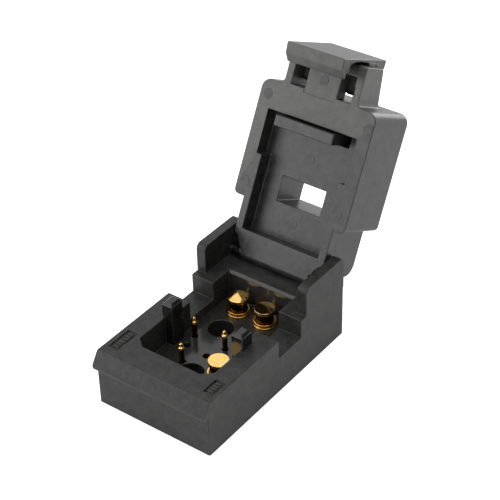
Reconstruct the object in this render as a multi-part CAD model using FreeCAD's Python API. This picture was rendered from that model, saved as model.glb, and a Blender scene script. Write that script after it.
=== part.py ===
"""Clamshell test socket for a flat power package: base with sprung contacts, hinged lid and latch.

Units are millimetres. X runs across the socket, Y from the catch lip (low) to the hinge (high), Z up.
The origin is the middle of the base's underside. Every y named below is measured back from the base's
front face; the helpers move it. The lid and all that it carries are drawn shut, then swung open about
the hinge pin to the angle at which the lid stands.
"""
import math
import os

import FreeCAD, Part

os.makedirs("parts", exist_ok=True)

# Clearances
FIT_GAP = 0.03            # radial gap of a bore round a part that is pressed or dropped in
RUN_GAP = 0.05            # radial gap of a running fit
SIDE_GAP = 0.35           # lid arm to ear, each side
SHUT_GAP = 0.1            # lid's inner face above the deck when shut
STOP_GAP = 0.03           # between two faces that meet at a stop

# Base
BASE_WIDTH = 30.0
BASE_LENGTH = 49.7
DECK_Z = 14.1
BASE_EDGE_CUT = 0.25
LIP_OUT = 1.39            # catch lip's nose, ahead of the front face
LIP_NOSE_TOP_Z = 11.16
LIP_NOSE_LOW_Z = 10.1
LIP_ROOT_Z = 9.9
LIP_START_Y = 0.6

# Cavity for the package
CAVITY_FLOOR_Z = 7.0
CAVITY_HALF = 10.0
CAVITY_FRONT_Y = 6.85
CAVITY_REAR_Y = 38.9
CAVITY_NARROW_HALF = 9.0  # behind the posts
CORNER_CUT_X = 2.3
CORNER_CUT_Y = 1.95
REAR_BEVEL = 0.6

# Posts that centre the package
POST_INNER_X = 7.95
POST_OUTER_X = 10.8
POST_FRONT_Y = 17.4
POST_DEPTH = 3.6
POST_TOP_Z = 18.0
POST_BEVEL = 0.65

# Finger notches in both sides
NOTCH_FRONT_Y = 24.8
NOTCH_REAR_Y = 33.1
NOTCH_FLOOR_Z = 9.45

# Ears
EAR_THICKNESS = 2.45
EAR_FRONT_Y = 35.1
EAR_TOP_Z = 21.3
EAR_ROUND = 1.5

# Label recesses in the deck, with plain raised bars
LABEL_DEPTH = 0.45
LABEL_WIDTH = 2.6
LABEL_BAR = 0.55
LEFT_LABEL_X = -12.5
LEFT_LABEL_Y = (2.9, 9.7)
RIGHT_LABEL_X = 12.8
RIGHT_LABEL_Y = (3.0, 7.5)

# Hinge: the pin lies so that the knuckle is flush with the lid's inner face and clears the deck
OPEN_ANGLE = 117.28
HINGE_Y = 44.88
HINGE_Z = 15.62
KNUCKLE_RADIUS = HINGE_Z - DECK_Z - SHUT_GAP
HINGE_PIN_RADIUS = 0.75
PIN_BLIND_WALL = 1.0      # left outside the blind end of each cross pin
PIN_SET_BACK = 0.3        # open end of each cross pin, in from the outer face

# Hinge springs, one on each side of the knuckle
HINGE_WIRE = 0.3
HINGE_COIL_RADIUS = 1.15
HINGE_COIL_TURNS = 3
DECK_LEG = 5.0
LID_LEG = 3.8
COIL_FLATS = 8            # straight runs in one turn of any coil

# Lid, heights above its inner face and lengths forward from SHUT_ORIGIN_Y
SHUT_Z = DECK_Z + SHUT_GAP
SHUT_ORIGIN_Y = HINGE_Y - 0.43
LID_DEPTH = 14.6
WING_DEPTH = 15.5
LID_HALF = BASE_WIDTH / 2  # flush with the base when shut
FLANGE_START = 12.1
FLANGE_END = 39.3
FLANGE_FRONT_ROUND = 2.3
FLANGE_REAR_ROUND = 1.2
ARM_HALF = BASE_WIDTH / 2 - EAR_THICKNESS - SIDE_GAP
ARM_REAR_ROUND = 3.0
LID_HEEL = 0.42 + STOP_GAP  # rear face; it meets the base's rear edge when the lid is open
KNUCKLE_INSET = 2.9       # room for a hinge spring
KNUCKLE_HALF = ARM_HALF - KNUCKLE_INSET

# Pocket, window and bar in the lid
POCKET_DEPTH = 3.9
POCKET_HALF_FRONT = 11.72
POCKET_HALF_REAR = 10.32
POCKET_REAR = 5.0
POCKET_JOG = 22.48
POCKET_FRONT = 32.75
WINDOW_HALF = 5.85
WINDOW_REAR = 13.0
WINDOW_FRONT = 18.9
BAR_X = -0.5
BAR_HALF = 7.7
BAR_WIDTH = 2.45
BAR_FRONT_GAP = 0.3
BAR_REAR = POCKET_FRONT - BAR_FRONT_GAP - BAR_WIDTH
BAR_PROUD = 2.1           # past the lid's inner face
BAR_SEAT = 2.5            # below the pocket's floor
BAR_SLOT_GAP = 0.25
BAR_SLOT_END = 1.2

# Spring corners beside the knuckle
SPRING_CORNER_DEPTH = 6.8
SPRING_CORNER_REACH = 3.0
SPRING_CORNER_BEND = ((2.3, 1.0), (1.8, 2.2), (1.1, 3.1), (0.0, 3.8))  # in from the arm's side, length
SPRING_WELL_RADIUS = 1.9

# Latch tab at the lid's free edge
TAB_HALF = 9.65
TAB_END = FLANGE_END + 8.4
TAB_ROUND = 1.4
TAB_SIDE_END = TAB_END + 0.4  # top of the tab under the latch
TAB_SIDE_CORNER = 0.45
TAB_DEPTH = 9.8           # at the foot
TAB_TOP_DEPTH = 7.6       # at the end
TAB_FOOT_FLARE = 1.1
TAB_WALL = 3.7            # front wall between inner face and latch chamber
SLOT_INNER_X = 4.2
SLOT_OUTER_X = 7.8
SLOT_REAR = FLANGE_END + 0.35
SLOT_FRONT = TAB_END - 2.2
PAD_REAR = FLANGE_END - 0.6  # shallow panel between the slots
PAD_DEPTH = 0.1
PIN_MARK_RADIUS = 0.85    # half-round mark beside the right slot, in line with the latch pin
PIN_MARK_DEPTH = 0.3

# Latch: cap with a tooth, and two legs on the latch pin
LATCH_HALF = 7.4
LATCH_PIVOT = FLANGE_END + 3.1
LATCH_PIVOT_DEPTH = 5.6
LATCH_PIN_RADIUS = 0.75
LEG_GAP = 0.15            # leg to chamber wall
LEG_OUTER_X = SLOT_OUTER_X - LEG_GAP
LEG_INNER_X = 3.55
LEG_RADIUS = 1.6
TOOTH_TIP = TAB_END - 3.0
TOOTH_TIP_LOW = 4.4       # catch face below the lid's inner face, at the tip
TOOTH_TIP_THICKNESS = 0.45
TOOTH_HEIGHT = 1.75
TOOTH_ROOT = TOOTH_TIP + 1.25
TOOTH_ROOT_LOW = 4.2
LATCH_FRONT_DROP = 6.85
LATCH_FRONT_LOW_DROP = 6.5
LATCH_TOP_FRONT = TAB_END + 1.37
LATCH_TOP_REAR = TAB_END + 2.1
LATCH_REACH = 12.05
LATCH_REAR_THICKNESS = 2.15
UNDER_TOP = TAB_END + 1.05  # highest line of the cap's hollow underside
UNDER_TOP_DEPTH = 1.4
UNDER_FRONT_DROP = 1.35
UNDER_FRONT_REACH = 4.85
UNDER_REAR_DROP = 1.0
UNDER_REAR_REACH = 8.4

# Latch springs, on the latch pin
LATCH_WIRE = 0.3
LATCH_COIL_RADIUS = 1.25
LATCH_COIL_TURNS = 3
LATCH_COIL_INNER = 1.0
LATCH_COIL_OUTER = 3.3
CAP_LEG = 5.7

# Power contacts: place, then sizes
POWER_PLACES = ((6.2, 15.1), (-3.65, 35.2), (3.65, 35.2))
POWER_BORE_RADIUS = 2.53
POWER_RIM_RADIUS = 2.75
POWER_RIM_TOP_Z = 8.3
POWER_GROOVE_Z = (7.45, 7.65, 7.85)
POWER_HEAD_TOP_Z = 11.38
POWER_HEAD_THICKNESS = 0.8
POWER_HEAD_RADIUS = 2.35
POWER_NECK_RADIUS = 2.05
POWER_GUIDE_LOW_Z = 5.4
POWER_FLOOR_Z = 2.9
POWER_WIRE = 0.35
POWER_COIL_RADIUS = 1.6
POWER_COIL_TURNS = 2
EMPTY_HOLES = ((-3.3, 28.2), (0.4, 12.6))
EMPTY_HOLE_RADIUS = 2.95

# Sense contacts: x, y and the height of the ball's top
SENSE_PLACES = ((-3.4, 14.4, 12.0), (-6.5, 22.9, 12.2), (1.8, 23.0, 12.1))
SENSE_EMPTY = ((-0.1, 18.8), (-5.9, 19.3))
SENSE_EMPTY_RADIUS = 0.8
SENSE_STEM_GAP = 0.12     # radial, round the stem where it passes the cavity's floor
SENSE_BARREL_HALF = 0.8   # square barrels, put in from below
SENSE_BARREL_TOP_Z = 5.5
SENSE_STEM_RADIUS = 0.6
SENSE_BALL_RADIUS = 0.5
SENSE_NECK_RADIUS = 0.28
SENSE_COLLAR_RADIUS = 0.75
SENSE_COLLAR_DROP = 1.15  # collar's widest part below the ball's top
SENSE_STEM_LOW_Z = 4.4
SENSE_FLOOR_Z = 2.3
SENSE_WIRE = 0.16
SENSE_COIL_RADIUS = 0.45
SENSE_COIL_TURNS = 2

# Retainer plate under the base
PLATE_HALF = 11.0
PLATE_FRONT_Y = 6.0
PLATE_REAR_Y = 44.0
PLATE_TOP_Z = 2.0
PLATE_LOW_Z = 0.1
PLATE_GAP = 0.1
TAIL_HALF = 0.4           # square tails of the contacts
TAIL_LOW_Z = 0.2
SCREW_PLACES = ((0.0, 8.4), (0.0, 41.6))
SCREW_RADIUS = 0.7
SCREW_HEAD_RADIUS = 1.3
SCREW_HEAD_DEPTH = 0.6
SCREW_LENGTH = 4.6
SCREW_DRIVE = 0.8

# Threaded holes that fix the socket to its board
BOARD_HOLE_RADIUS = 0.8
BOARD_HOLE_DEPTH = 5.0
BOARD_HOLE_X = 12.8
BOARD_HOLE_Y = (3.2, 46.5)

FRONT = -BASE_LENGTH / 2


def at(x, y, z):
    """A point, with y measured back from the base's front face."""
    return FreeCAD.Vector(x, FRONT + y, z)


def block(xs, ys, zs):
    """A box between three pairs of limits."""
    x0, x1 = sorted(xs)
    y0, y1 = sorted(ys)
    z0, z1 = sorted(zs)
    return Part.makeBox(x1 - x0, y1 - y0, z1 - z0, at(x0, y0, z0))


def rod(x, y, z0, z1, radius):
    """An upright cylinder."""
    return Part.makeCylinder(radius, z1 - z0, at(x, y, z0), FreeCAD.Vector(0, 0, 1))


def square_bar(x, y, z0, z1, half):
    """An upright square bar."""
    return block((x - half, x + half), (y - half, y + half), (z0, z1))


def axle(x0, x1, y, z, radius):
    """A cylinder along X."""
    return Part.makeCylinder(radius, x1 - x0, at(x0, y, z), FreeCAD.Vector(1, 0, 0))


def prism_x(points, half):
    """A (y, z) outline drawn out along X to both sides."""
    wire = Part.makePolygon([at(-half, y, z) for y, z in points + points[:1]])
    return Part.Face(wire).extrude(FreeCAD.Vector(2 * half, 0, 0))


def prism_z(points, z0, z1):
    """An (x, y) outline drawn out upwards."""
    wire = Part.makePolygon([at(x, y, z0) for x, y in points + points[:1]])
    return Part.Face(wire).extrude(FreeCAD.Vector(0, 0, z1 - z0))


def turned(x, y, points):
    """A (radius, z) outline turned about the upright line through x, y."""
    wire = Part.makePolygon([at(x + r, y, z) for r, z in points + points[:1]])
    return Part.Face(wire).revolve(at(x, y, 0), FreeCAD.Vector(0, 0, 1), 360)


def both_sides(shape):
    """The shape and its mirror image in the plane x = 0."""
    return [shape, shape.mirror(FreeCAD.Vector(0, 0, 0), FreeCAD.Vector(1, 0, 0))]


def edges_where(shape, test):
    """Straight edges whose two ends both pass the test."""
    return [e for e in shape.Edges if len(e.Vertexes) == 2 and all(test(v.Point) for v in e.Vertexes)]


def near(a, b):
    return abs(a - b) < 0.01


def coil(centre, along, across, radius, wire, rise, turns):
    """Square wire wound in straight runs about the unit vector along, from the side that across points to."""
    third = along.cross(across)
    count = int(turns * COIL_FLATS)
    rings = []
    for i in range(count + 1):
        angle = 2 * math.pi * turns * i / count
        out = across * math.cos(angle) + third * math.sin(angle)
        middle = centre + along * (rise * i / count)
        rings.append([middle + out * (radius + a * wire / 2) + along * (b * wire / 2)
                      for a, b in ((-1, -1), (1, -1), (1, 1), (-1, 1))])
    faces = [flat(rings[0][::-1]), flat(rings[-1])]
    for near_ring, far_ring in zip(rings, rings[1:]):
        for i in range(4):
            a, b = near_ring[i - 1], near_ring[i]
            c, d = far_ring[i], far_ring[i - 1]
            faces += [flat([a, b, c]), flat([a, c, d])]
    solid = Part.Solid(Part.Shell(faces))
    return solid if solid.Volume > 0 else solid.reversed()


def flat(corners):
    """A flat face with these corners."""
    return Part.Face(Part.makePolygon(corners + corners[:1]))


def shut_y(length):
    """Y, with the lid shut, of a length along the lid."""
    return SHUT_ORIGIN_Y - length


def shut_z(height):
    """Z, with the lid shut, of a height above the lid's inner face."""
    return SHUT_Z + height


def lid_block(xs, lengths, heights):
    """A box given along the shut lid."""
    return block(xs, [shut_y(v) for v in lengths], [shut_z(v) for v in heights])


def opened(shape):
    """Swing a shape from shut to the open rest position."""
    shape.rotate(at(0, HINGE_Y, HINGE_Z), FreeCAD.Vector(1, 0, 0), -OPEN_ANGLE)
    return shape


# Base

def base_body():
    cut = BASE_EDGE_CUT
    profile = [(0, 0), (BASE_LENGTH, 0), (BASE_LENGTH, DECK_Z), (LIP_START_Y, DECK_Z),
               (-LIP_OUT + cut, LIP_NOSE_TOP_Z + cut * 1.5), (-LIP_OUT, LIP_NOSE_TOP_Z - cut),
               (-LIP_OUT + 0.12, LIP_NOSE_LOW_Z), (0, LIP_ROOT_Z)]
    body = prism_x(profile, BASE_WIDTH / 2)
    upright = [e for e in body.Edges if near(e.Vertexes[0].Point.x, e.Vertexes[1].Point.x)
               and near(e.Vertexes[0].Point.y, e.Vertexes[1].Point.y)]
    return body.makeChamfer(cut, upright)


def ears():
    ear = block((BASE_WIDTH / 2 - EAR_THICKNESS, BASE_WIDTH / 2), (EAR_FRONT_Y, BASE_LENGTH),
                (DECK_Z - 1, EAR_TOP_Z))
    top = edges_where(ear, lambda p: near(p.z, EAR_TOP_Z))
    ends = [e for e in top if near(e.Vertexes[0].Point.y, e.Vertexes[1].Point.y)]
    return both_sides(ear.makeFillet(EAR_ROUND, ends))


def cavity():
    wide, narrow = CAVITY_HALF, CAVITY_NARROW_HALF
    step_y = POST_FRONT_Y + POST_DEPTH / 2
    outline = [(-wide + CORNER_CUT_X, CAVITY_FRONT_Y), (wide - CORNER_CUT_X, CAVITY_FRONT_Y),
               (wide, CAVITY_FRONT_Y + CORNER_CUT_Y), (wide, step_y), (narrow, step_y),
               (narrow, CAVITY_REAR_Y), (-narrow, CAVITY_REAR_Y), (-narrow, step_y),
               (-wide, step_y), (-wide, CAVITY_FRONT_Y + CORNER_CUT_Y)]
    well = prism_z(outline, CAVITY_FLOOR_Z, DECK_Z + 1)
    bevel = prism_x([(CAVITY_REAR_Y - 0.1, DECK_Z - REAR_BEVEL - 0.1), (CAVITY_REAR_Y + REAR_BEVEL + 0.1, DECK_Z + 0.1),
                     (CAVITY_REAR_Y - 0.1, DECK_Z + 0.1)], narrow)
    return well.fuse(bevel)


def posts():
    post = block((POST_INNER_X, POST_OUTER_X), (POST_FRONT_Y, POST_FRONT_Y + POST_DEPTH),
                 (CAVITY_FLOOR_Z - 0.5, POST_TOP_Z))
    rim = edges_where(post, lambda p: near(p.z, POST_TOP_Z))
    return both_sides(post.makeChamfer(POST_BEVEL, rim))


def finger_notches():
    return both_sides(block((CAVITY_NARROW_HALF - 0.1, BASE_WIDTH), (NOTCH_FRONT_Y, NOTCH_REAR_Y),
                            (NOTCH_FLOOR_Z, DECK_Z + 1)))


def label_recess(x, ys):
    return block((x - LABEL_WIDTH / 2, x + LABEL_WIDTH / 2), ys, (DECK_Z - LABEL_DEPTH, DECK_Z + 1))


def label_bars(x, ys, count):
    """Plain raised bars across a label recess."""
    pitch = (ys[1] - ys[0]) / (count + 1)
    reach = LABEL_WIDTH / 2 - 0.55
    return [block((x - reach, x + reach), (ys[0] + pitch * (i + 1) - LABEL_BAR / 2, ys[0] + pitch * (i + 1) + LABEL_BAR / 2),
                  (DECK_Z - LABEL_DEPTH - 0.2, DECK_Z - 0.05)) for i in range(count)]


def contact_holes():
    holes = [rod(x, y, PLATE_TOP_Z - 1, CAVITY_FLOOR_Z + 1, POWER_BORE_RADIUS) for x, y in POWER_PLACES]
    holes += [rod(x, y, PLATE_TOP_Z - 1, CAVITY_FLOOR_Z + 1, EMPTY_HOLE_RADIUS) for x, y in EMPTY_HOLES]
    holes += [rod(x, y, PLATE_TOP_Z - 1, CAVITY_FLOOR_Z + 1, SENSE_EMPTY_RADIUS) for x, y in SENSE_EMPTY]
    for x, y, _ in SENSE_PLACES:
        holes.append(rod(x, y, SENSE_BARREL_TOP_Z - 1, CAVITY_FLOOR_Z + 1, SENSE_STEM_RADIUS + SENSE_STEM_GAP))
        holes.append(square_bar(x, y, PLATE_TOP_Z - 1, SENSE_BARREL_TOP_Z, SENSE_BARREL_HALF + FIT_GAP))
    return holes


def underside_cuts():
    cuts = [block((-PLATE_HALF, PLATE_HALF), (PLATE_FRONT_Y, PLATE_REAR_Y), (-1, PLATE_TOP_Z))]
    cuts += [rod(x, y, 0, SCREW_LENGTH + 0.5, SCREW_RADIUS + FIT_GAP) for x, y in SCREW_PLACES]
    for x in (-BOARD_HOLE_X, BOARD_HOLE_X):
        cuts += [rod(x, y, -1, BOARD_HOLE_DEPTH, BOARD_HOLE_RADIUS) for y in BOARD_HOLE_Y]
    return cuts


def hinge_pin_ends():
    """The pin enters from the left and stops in the right ear."""
    return -BASE_WIDTH / 2 + PIN_SET_BACK, BASE_WIDTH / 2 - PIN_BLIND_WALL


def housing():
    body = base_body().multiFuse(ears())
    body = body.cut([cavity()] + finger_notches())
    body = body.multiFuse(posts())
    body = body.cut([label_recess(LEFT_LABEL_X, LEFT_LABEL_Y), label_recess(RIGHT_LABEL_X, RIGHT_LABEL_Y)])
    body = body.multiFuse(label_bars(LEFT_LABEL_X, LEFT_LABEL_Y, 6) + label_bars(RIGHT_LABEL_X, RIGHT_LABEL_Y, 4))
    end = hinge_pin_ends()[1]
    pin_bore = axle(-BASE_WIDTH, end, HINGE_Y, HINGE_Z, HINGE_PIN_RADIUS + FIT_GAP)
    return body.cut(contact_holes() + underside_cuts() + [pin_bore]).removeSplitter()


def retainer_plate():
    gap = PLATE_GAP
    plate = block((-PLATE_HALF + gap, PLATE_HALF - gap), (PLATE_FRONT_Y + gap, PLATE_REAR_Y - gap),
                  (PLATE_LOW_Z, PLATE_TOP_Z))
    places = list(POWER_PLACES) + [(x, y) for x, y, _ in SENSE_PLACES]
    tails = [square_bar(x, y, -1, PLATE_TOP_Z + 1, TAIL_HALF + FIT_GAP) for x, y in places]
    return plate.cut(tails + [screw_outline(x, y, FIT_GAP) for x, y in SCREW_PLACES])


def screw_outline(x, y, gap):
    low = PLATE_LOW_Z - gap
    cone_top = PLATE_LOW_Z + SCREW_HEAD_DEPTH
    return turned(x, y, [(0, low), (SCREW_HEAD_RADIUS + gap, low), (SCREW_RADIUS + gap, cone_top),
                         (SCREW_RADIUS + gap, SCREW_LENGTH), (0, SCREW_LENGTH)])


def retainer_screws():
    """Countersunk screws with a cross slot."""
    screws = []
    for x, y in SCREW_PLACES:
        arms = [block((x - 0.85, x + 0.85), (y - 0.15, y + 0.15), (-1, PLATE_LOW_Z + SCREW_DRIVE / 2)),
                block((x - 0.15, x + 0.15), (y - 0.85, y + 0.85), (-1, PLATE_LOW_Z + SCREW_DRIVE / 2))]
        screws.append(screw_outline(x, y, 0).cut(arms))
    return Part.makeCompound(screws)


def hinge_pin():
    start, end = hinge_pin_ends()
    return axle(start, end, HINGE_Y, HINGE_Z, HINGE_PIN_RADIUS)


def hinge_springs():
    """A coil on each side of the knuckle, with one leg on the deck and one up behind the lid's corner."""
    h = HINGE_WIRE / 2
    start, end = KNUCKLE_HALF + 0.35, ARM_HALF - 0.35
    turns = HINGE_COIL_TURNS + 0.5 - OPEN_ANGLE / 360
    ring = coil(at(start, HINGE_Y, HINGE_Z), FreeCAD.Vector(1, 0, 0), FreeCAD.Vector(0, 0, -1), HINGE_COIL_RADIUS,
                HINGE_WIRE, end - start, turns)
    low, high = HINGE_Z - HINGE_COIL_RADIUS, HINGE_Z + HINGE_COIL_RADIUS
    deck_leg = block((start - h, start + h), (HINGE_Y - DECK_LEG, HINGE_Y), (low - h, low + h))
    lid_leg = block((end - h, end + h), (HINGE_Y - LID_LEG, HINGE_Y), (high - h, high + h))
    lid_leg.rotate(at(0, HINGE_Y, HINGE_Z), FreeCAD.Vector(1, 0, 0), -OPEN_ANGLE)
    return Part.makeCompound(both_sides(ring.fuse([deck_leg, lid_leg])))


# Contacts

def power_barrel(x, y):
    outer = POWER_BORE_RADIUS - FIT_GAP
    mouth = POWER_NECK_RADIUS + RUN_GAP
    low, middle, high = POWER_GROOVE_Z
    body = turned(x, y, [
        (0, PLATE_TOP_Z), (outer, PLATE_TOP_Z), (outer, CAVITY_FLOOR_Z), (POWER_RIM_RADIUS, CAVITY_FLOOR_Z),
        (POWER_RIM_RADIUS, low), (outer, middle), (POWER_RIM_RADIUS - 0.08, high),
        (POWER_RIM_RADIUS - 0.08, POWER_RIM_TOP_Z), (mouth, POWER_RIM_TOP_Z), (mouth, POWER_FLOOR_Z),
        (0, POWER_FLOOR_Z)])
    return body.fuse(square_bar(x, y, TAIL_LOW_Z, PLATE_TOP_Z + 0.1, TAIL_HALF))


def power_plunger(x, y):
    head_low = POWER_HEAD_TOP_Z - POWER_HEAD_THICKNESS
    return turned(x, y, [
        (0, POWER_GUIDE_LOW_Z), (POWER_NECK_RADIUS, POWER_GUIDE_LOW_Z), (POWER_NECK_RADIUS, head_low),
        (POWER_HEAD_RADIUS, head_low + 0.15), (POWER_HEAD_RADIUS, POWER_HEAD_TOP_Z - 0.12),
        (POWER_HEAD_RADIUS - 0.12, POWER_HEAD_TOP_Z), (0, POWER_HEAD_TOP_Z)])


def upright_coil(x, y, low, high, radius, wire, turns):
    """A coil spring between two heights."""
    return coil(at(x, y, low + wire / 2), FreeCAD.Vector(0, 0, 1), FreeCAD.Vector(1, 0, 0), radius, wire,
                high - low - wire, turns)


def power_spring(x, y):
    return upright_coil(x, y, POWER_FLOOR_Z, POWER_GUIDE_LOW_Z, POWER_COIL_RADIUS, POWER_WIRE, POWER_COIL_TURNS)


def sense_barrel(x, y):
    body = square_bar(x, y, PLATE_TOP_Z, SENSE_BARREL_TOP_Z, SENSE_BARREL_HALF)
    body = body.fuse(square_bar(x, y, TAIL_LOW_Z, PLATE_TOP_Z + 0.1, TAIL_HALF))
    return body.cut(rod(x, y, SENSE_FLOOR_Z, SENSE_BARREL_TOP_Z + 1, SENSE_STEM_RADIUS + RUN_GAP)).removeSplitter()


def sense_plunger(x, y, top):
    """A stem with a collar and a ball."""
    collar_z = top - SENSE_COLLAR_DROP
    ball_z = top - SENSE_BALL_RADIUS
    wide = 0.4 * SENSE_BALL_RADIUS
    return turned(x, y, [
        (0, SENSE_STEM_LOW_Z), (SENSE_STEM_RADIUS, SENSE_STEM_LOW_Z), (SENSE_STEM_RADIUS, collar_z - 0.2),
        (SENSE_COLLAR_RADIUS, collar_z - 0.05), (SENSE_NECK_RADIUS, collar_z + 0.15),
        (SENSE_BALL_RADIUS, ball_z - wide), (SENSE_BALL_RADIUS, ball_z + wide), (0.6 * SENSE_BALL_RADIUS, top),
        (0, top)])


def sense_spring(x, y):
    return upright_coil(x, y, SENSE_FLOOR_Z, SENSE_STEM_LOW_Z, SENSE_COIL_RADIUS, SENSE_WIRE, SENSE_COIL_TURNS)


# Lid, drawn shut

def lid_body():
    arms = lid_block((-ARM_HALF, ARM_HALF), (LID_HEEL, FLANGE_END - 1), (0, LID_DEPTH))
    heel = edges_where(arms, lambda p: near(p.z, shut_z(LID_DEPTH)) and near(p.y, FRONT + shut_y(LID_HEEL)))
    arms = arms.makeFillet(ARM_REAR_ROUND, heel)
    wings = lid_block((-LID_HALF, LID_HALF), (FLANGE_START, FLANGE_END), (0, WING_DEPTH))
    for end, round_size in ((FLANGE_END, FLANGE_FRONT_ROUND), (FLANGE_START, FLANGE_REAR_ROUND)):
        corners = edges_where(wings, lambda p: near(p.y, FRONT + shut_y(end)))
        corners = [e for e in corners if near(e.Vertexes[0].Point.x, e.Vertexes[1].Point.x)]
        wings = wings.makeFillet(round_size, corners)
    return arms.fuse(wings).cut(lid_block((-ARM_HALF, ARM_HALF), (FLANGE_START - 1, FLANGE_END - 2),
                                          (LID_DEPTH, WING_DEPTH + 1)))


def knuckle():
    shank = lid_block((-KNUCKLE_HALF, KNUCKLE_HALF), (SHUT_ORIGIN_Y - HINGE_Y, LID_HEEL + 0.5), (0, KNUCKLE_RADIUS))
    return shank.fuse(axle(-KNUCKLE_HALF, KNUCKLE_HALF, HINGE_Y, HINGE_Z, KNUCKLE_RADIUS))


def spring_corners():
    """Room for the hinge springs, on both sides of the knuckle."""
    wide = ARM_HALF + 0.5
    foot = SHUT_ORIGIN_Y - HINGE_Y
    bend = [(ARM_HALF - inset, shut_y(length)) for inset, length in SPRING_CORNER_BEND]
    outline = [(KNUCKLE_HALF, shut_y(foot - SPRING_CORNER_REACH)), (KNUCKLE_HALF, shut_y(foot))] + bend
    outline += [(wide, bend[-1][1]), (wide, shut_y(foot - SPRING_CORNER_REACH))]
    wedge = prism_z(outline, SHUT_Z - 1, shut_z(SPRING_CORNER_DEPTH))
    well = axle(KNUCKLE_HALF, wide, HINGE_Y, HINGE_Z, SPRING_WELL_RADIUS)
    return both_sides(wedge.fuse(well))


def pocket():
    front = lid_block((-POCKET_HALF_FRONT, POCKET_HALF_FRONT), (POCKET_JOG, POCKET_FRONT), (-1, POCKET_DEPTH))
    rear = lid_block((-POCKET_HALF_REAR, POCKET_HALF_REAR), (POCKET_REAR, POCKET_JOG + 0.1), (-1, POCKET_DEPTH))
    window = lid_block((-WINDOW_HALF, WINDOW_HALF), (WINDOW_REAR, WINDOW_FRONT), (0, WING_DEPTH + 1))
    slot = lid_block((BAR_X - BAR_HALF - BAR_SLOT_GAP, BAR_X + BAR_HALF + BAR_SLOT_END),
                     (BAR_REAR - BAR_SLOT_GAP, POCKET_FRONT), (0, POCKET_DEPTH + BAR_SEAT))
    return [front, rear, window, slot]


def presser_bar():
    bar = lid_block((BAR_X - BAR_HALF, BAR_X + BAR_HALF), (BAR_REAR, BAR_REAR + BAR_WIDTH),
                    (-BAR_PROUD, POCKET_DEPTH + BAR_SEAT))
    rim = edges_where(bar, lambda p: near(p.z, shut_z(-BAR_PROUD)))
    return opened(bar.makeChamfer(0.15, rim))


def tab():
    """The front wall between the slots' ends, the higher walls outside the latch, and their flared feet."""
    wall = lid_block((-SLOT_OUTER_X, SLOT_OUTER_X), (FLANGE_END - 1, TAB_SIDE_END), (0, TAB_WALL))
    nose = edges_where(wall, lambda p: near(p.y, FRONT + shut_y(TAB_SIDE_END)) and near(p.z, SHUT_Z))
    wall = wall.makeFillet(TAB_ROUND, nose)
    floor = lid_block((-SLOT_OUTER_X, SLOT_OUTER_X), (FLANGE_END - 1, SLOT_REAR), (0, TAB_DEPTH))
    flare = TAB_FOOT_FLARE
    foot = [(TAB_HALF + flare, FLANGE_END - 0.5), (TAB_HALF + flare, FLANGE_END),
            (TAB_HALF + 0.3 * flare, FLANGE_END + 0.3 * flare), (TAB_HALF, FLANGE_END + flare)]
    outline = [(SLOT_OUTER_X, FLANGE_END - 0.5)] + foot + [(TAB_HALF, TAB_SIDE_END), (SLOT_OUTER_X, TAB_SIDE_END)]
    side = prism_z([(x, shut_y(u)) for x, u in outline], SHUT_Z, shut_z(TAB_DEPTH))
    return wall.multiFuse([floor] + [s.cut(tab_side_cuts()) for s in both_sides(side)])


def tab_side_cuts():
    """What is cut from the side walls: the front corner, and the taper at the rear."""
    corner = [(TAB_SIDE_END - TAB_SIDE_CORNER, 0), (TAB_SIDE_END, TAB_SIDE_CORNER), (TAB_SIDE_END + 1, -1)]
    taper = [(FLANGE_END, TAB_DEPTH), (TAB_SIDE_END, TAB_TOP_DEPTH), (TAB_SIDE_END + 1, TAB_DEPTH + 1)]
    return [prism_x([(shut_y(u), shut_z(v)) for u, v in points], BASE_WIDTH) for points in (corner, taper)]


def tab_cuts():
    slot = lid_block((SLOT_INNER_X, SLOT_OUTER_X), (SLOT_REAR, SLOT_FRONT), (-1, TAB_WALL + 1))
    panel = lid_block((-SLOT_INNER_X, SLOT_INNER_X), (PAD_REAR, TAB_END + 1), (-1, PAD_DEPTH))
    mark = rod(SLOT_OUTER_X, shut_y(LATCH_PIVOT), SHUT_Z - 1, shut_z(PIN_MARK_DEPTH), PIN_MARK_RADIUS)
    return [panel, mark, latch_pin_shape(FIT_GAP)] + both_sides(slot)


def latch_pin_shape(gap):
    """The latch pin enters the tab from the left and stops in its right side."""
    start = -TAB_HALF - 1 if gap else -TAB_HALF + PIN_SET_BACK
    end = TAB_HALF - PIN_BLIND_WALL / 2
    return axle(start, end, shut_y(LATCH_PIVOT), shut_z(LATCH_PIVOT_DEPTH), LATCH_PIN_RADIUS + gap)


def lid():
    body = lid_body().multiFuse([knuckle(), tab()])
    bore = axle(-BASE_WIDTH, BASE_WIDTH, HINGE_Y, HINGE_Z, HINGE_PIN_RADIUS + RUN_GAP)
    return opened(body.cut(pocket() + spring_corners() + tab_cuts() + [bore]).removeSplitter())


# Latch, drawn shut

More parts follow.
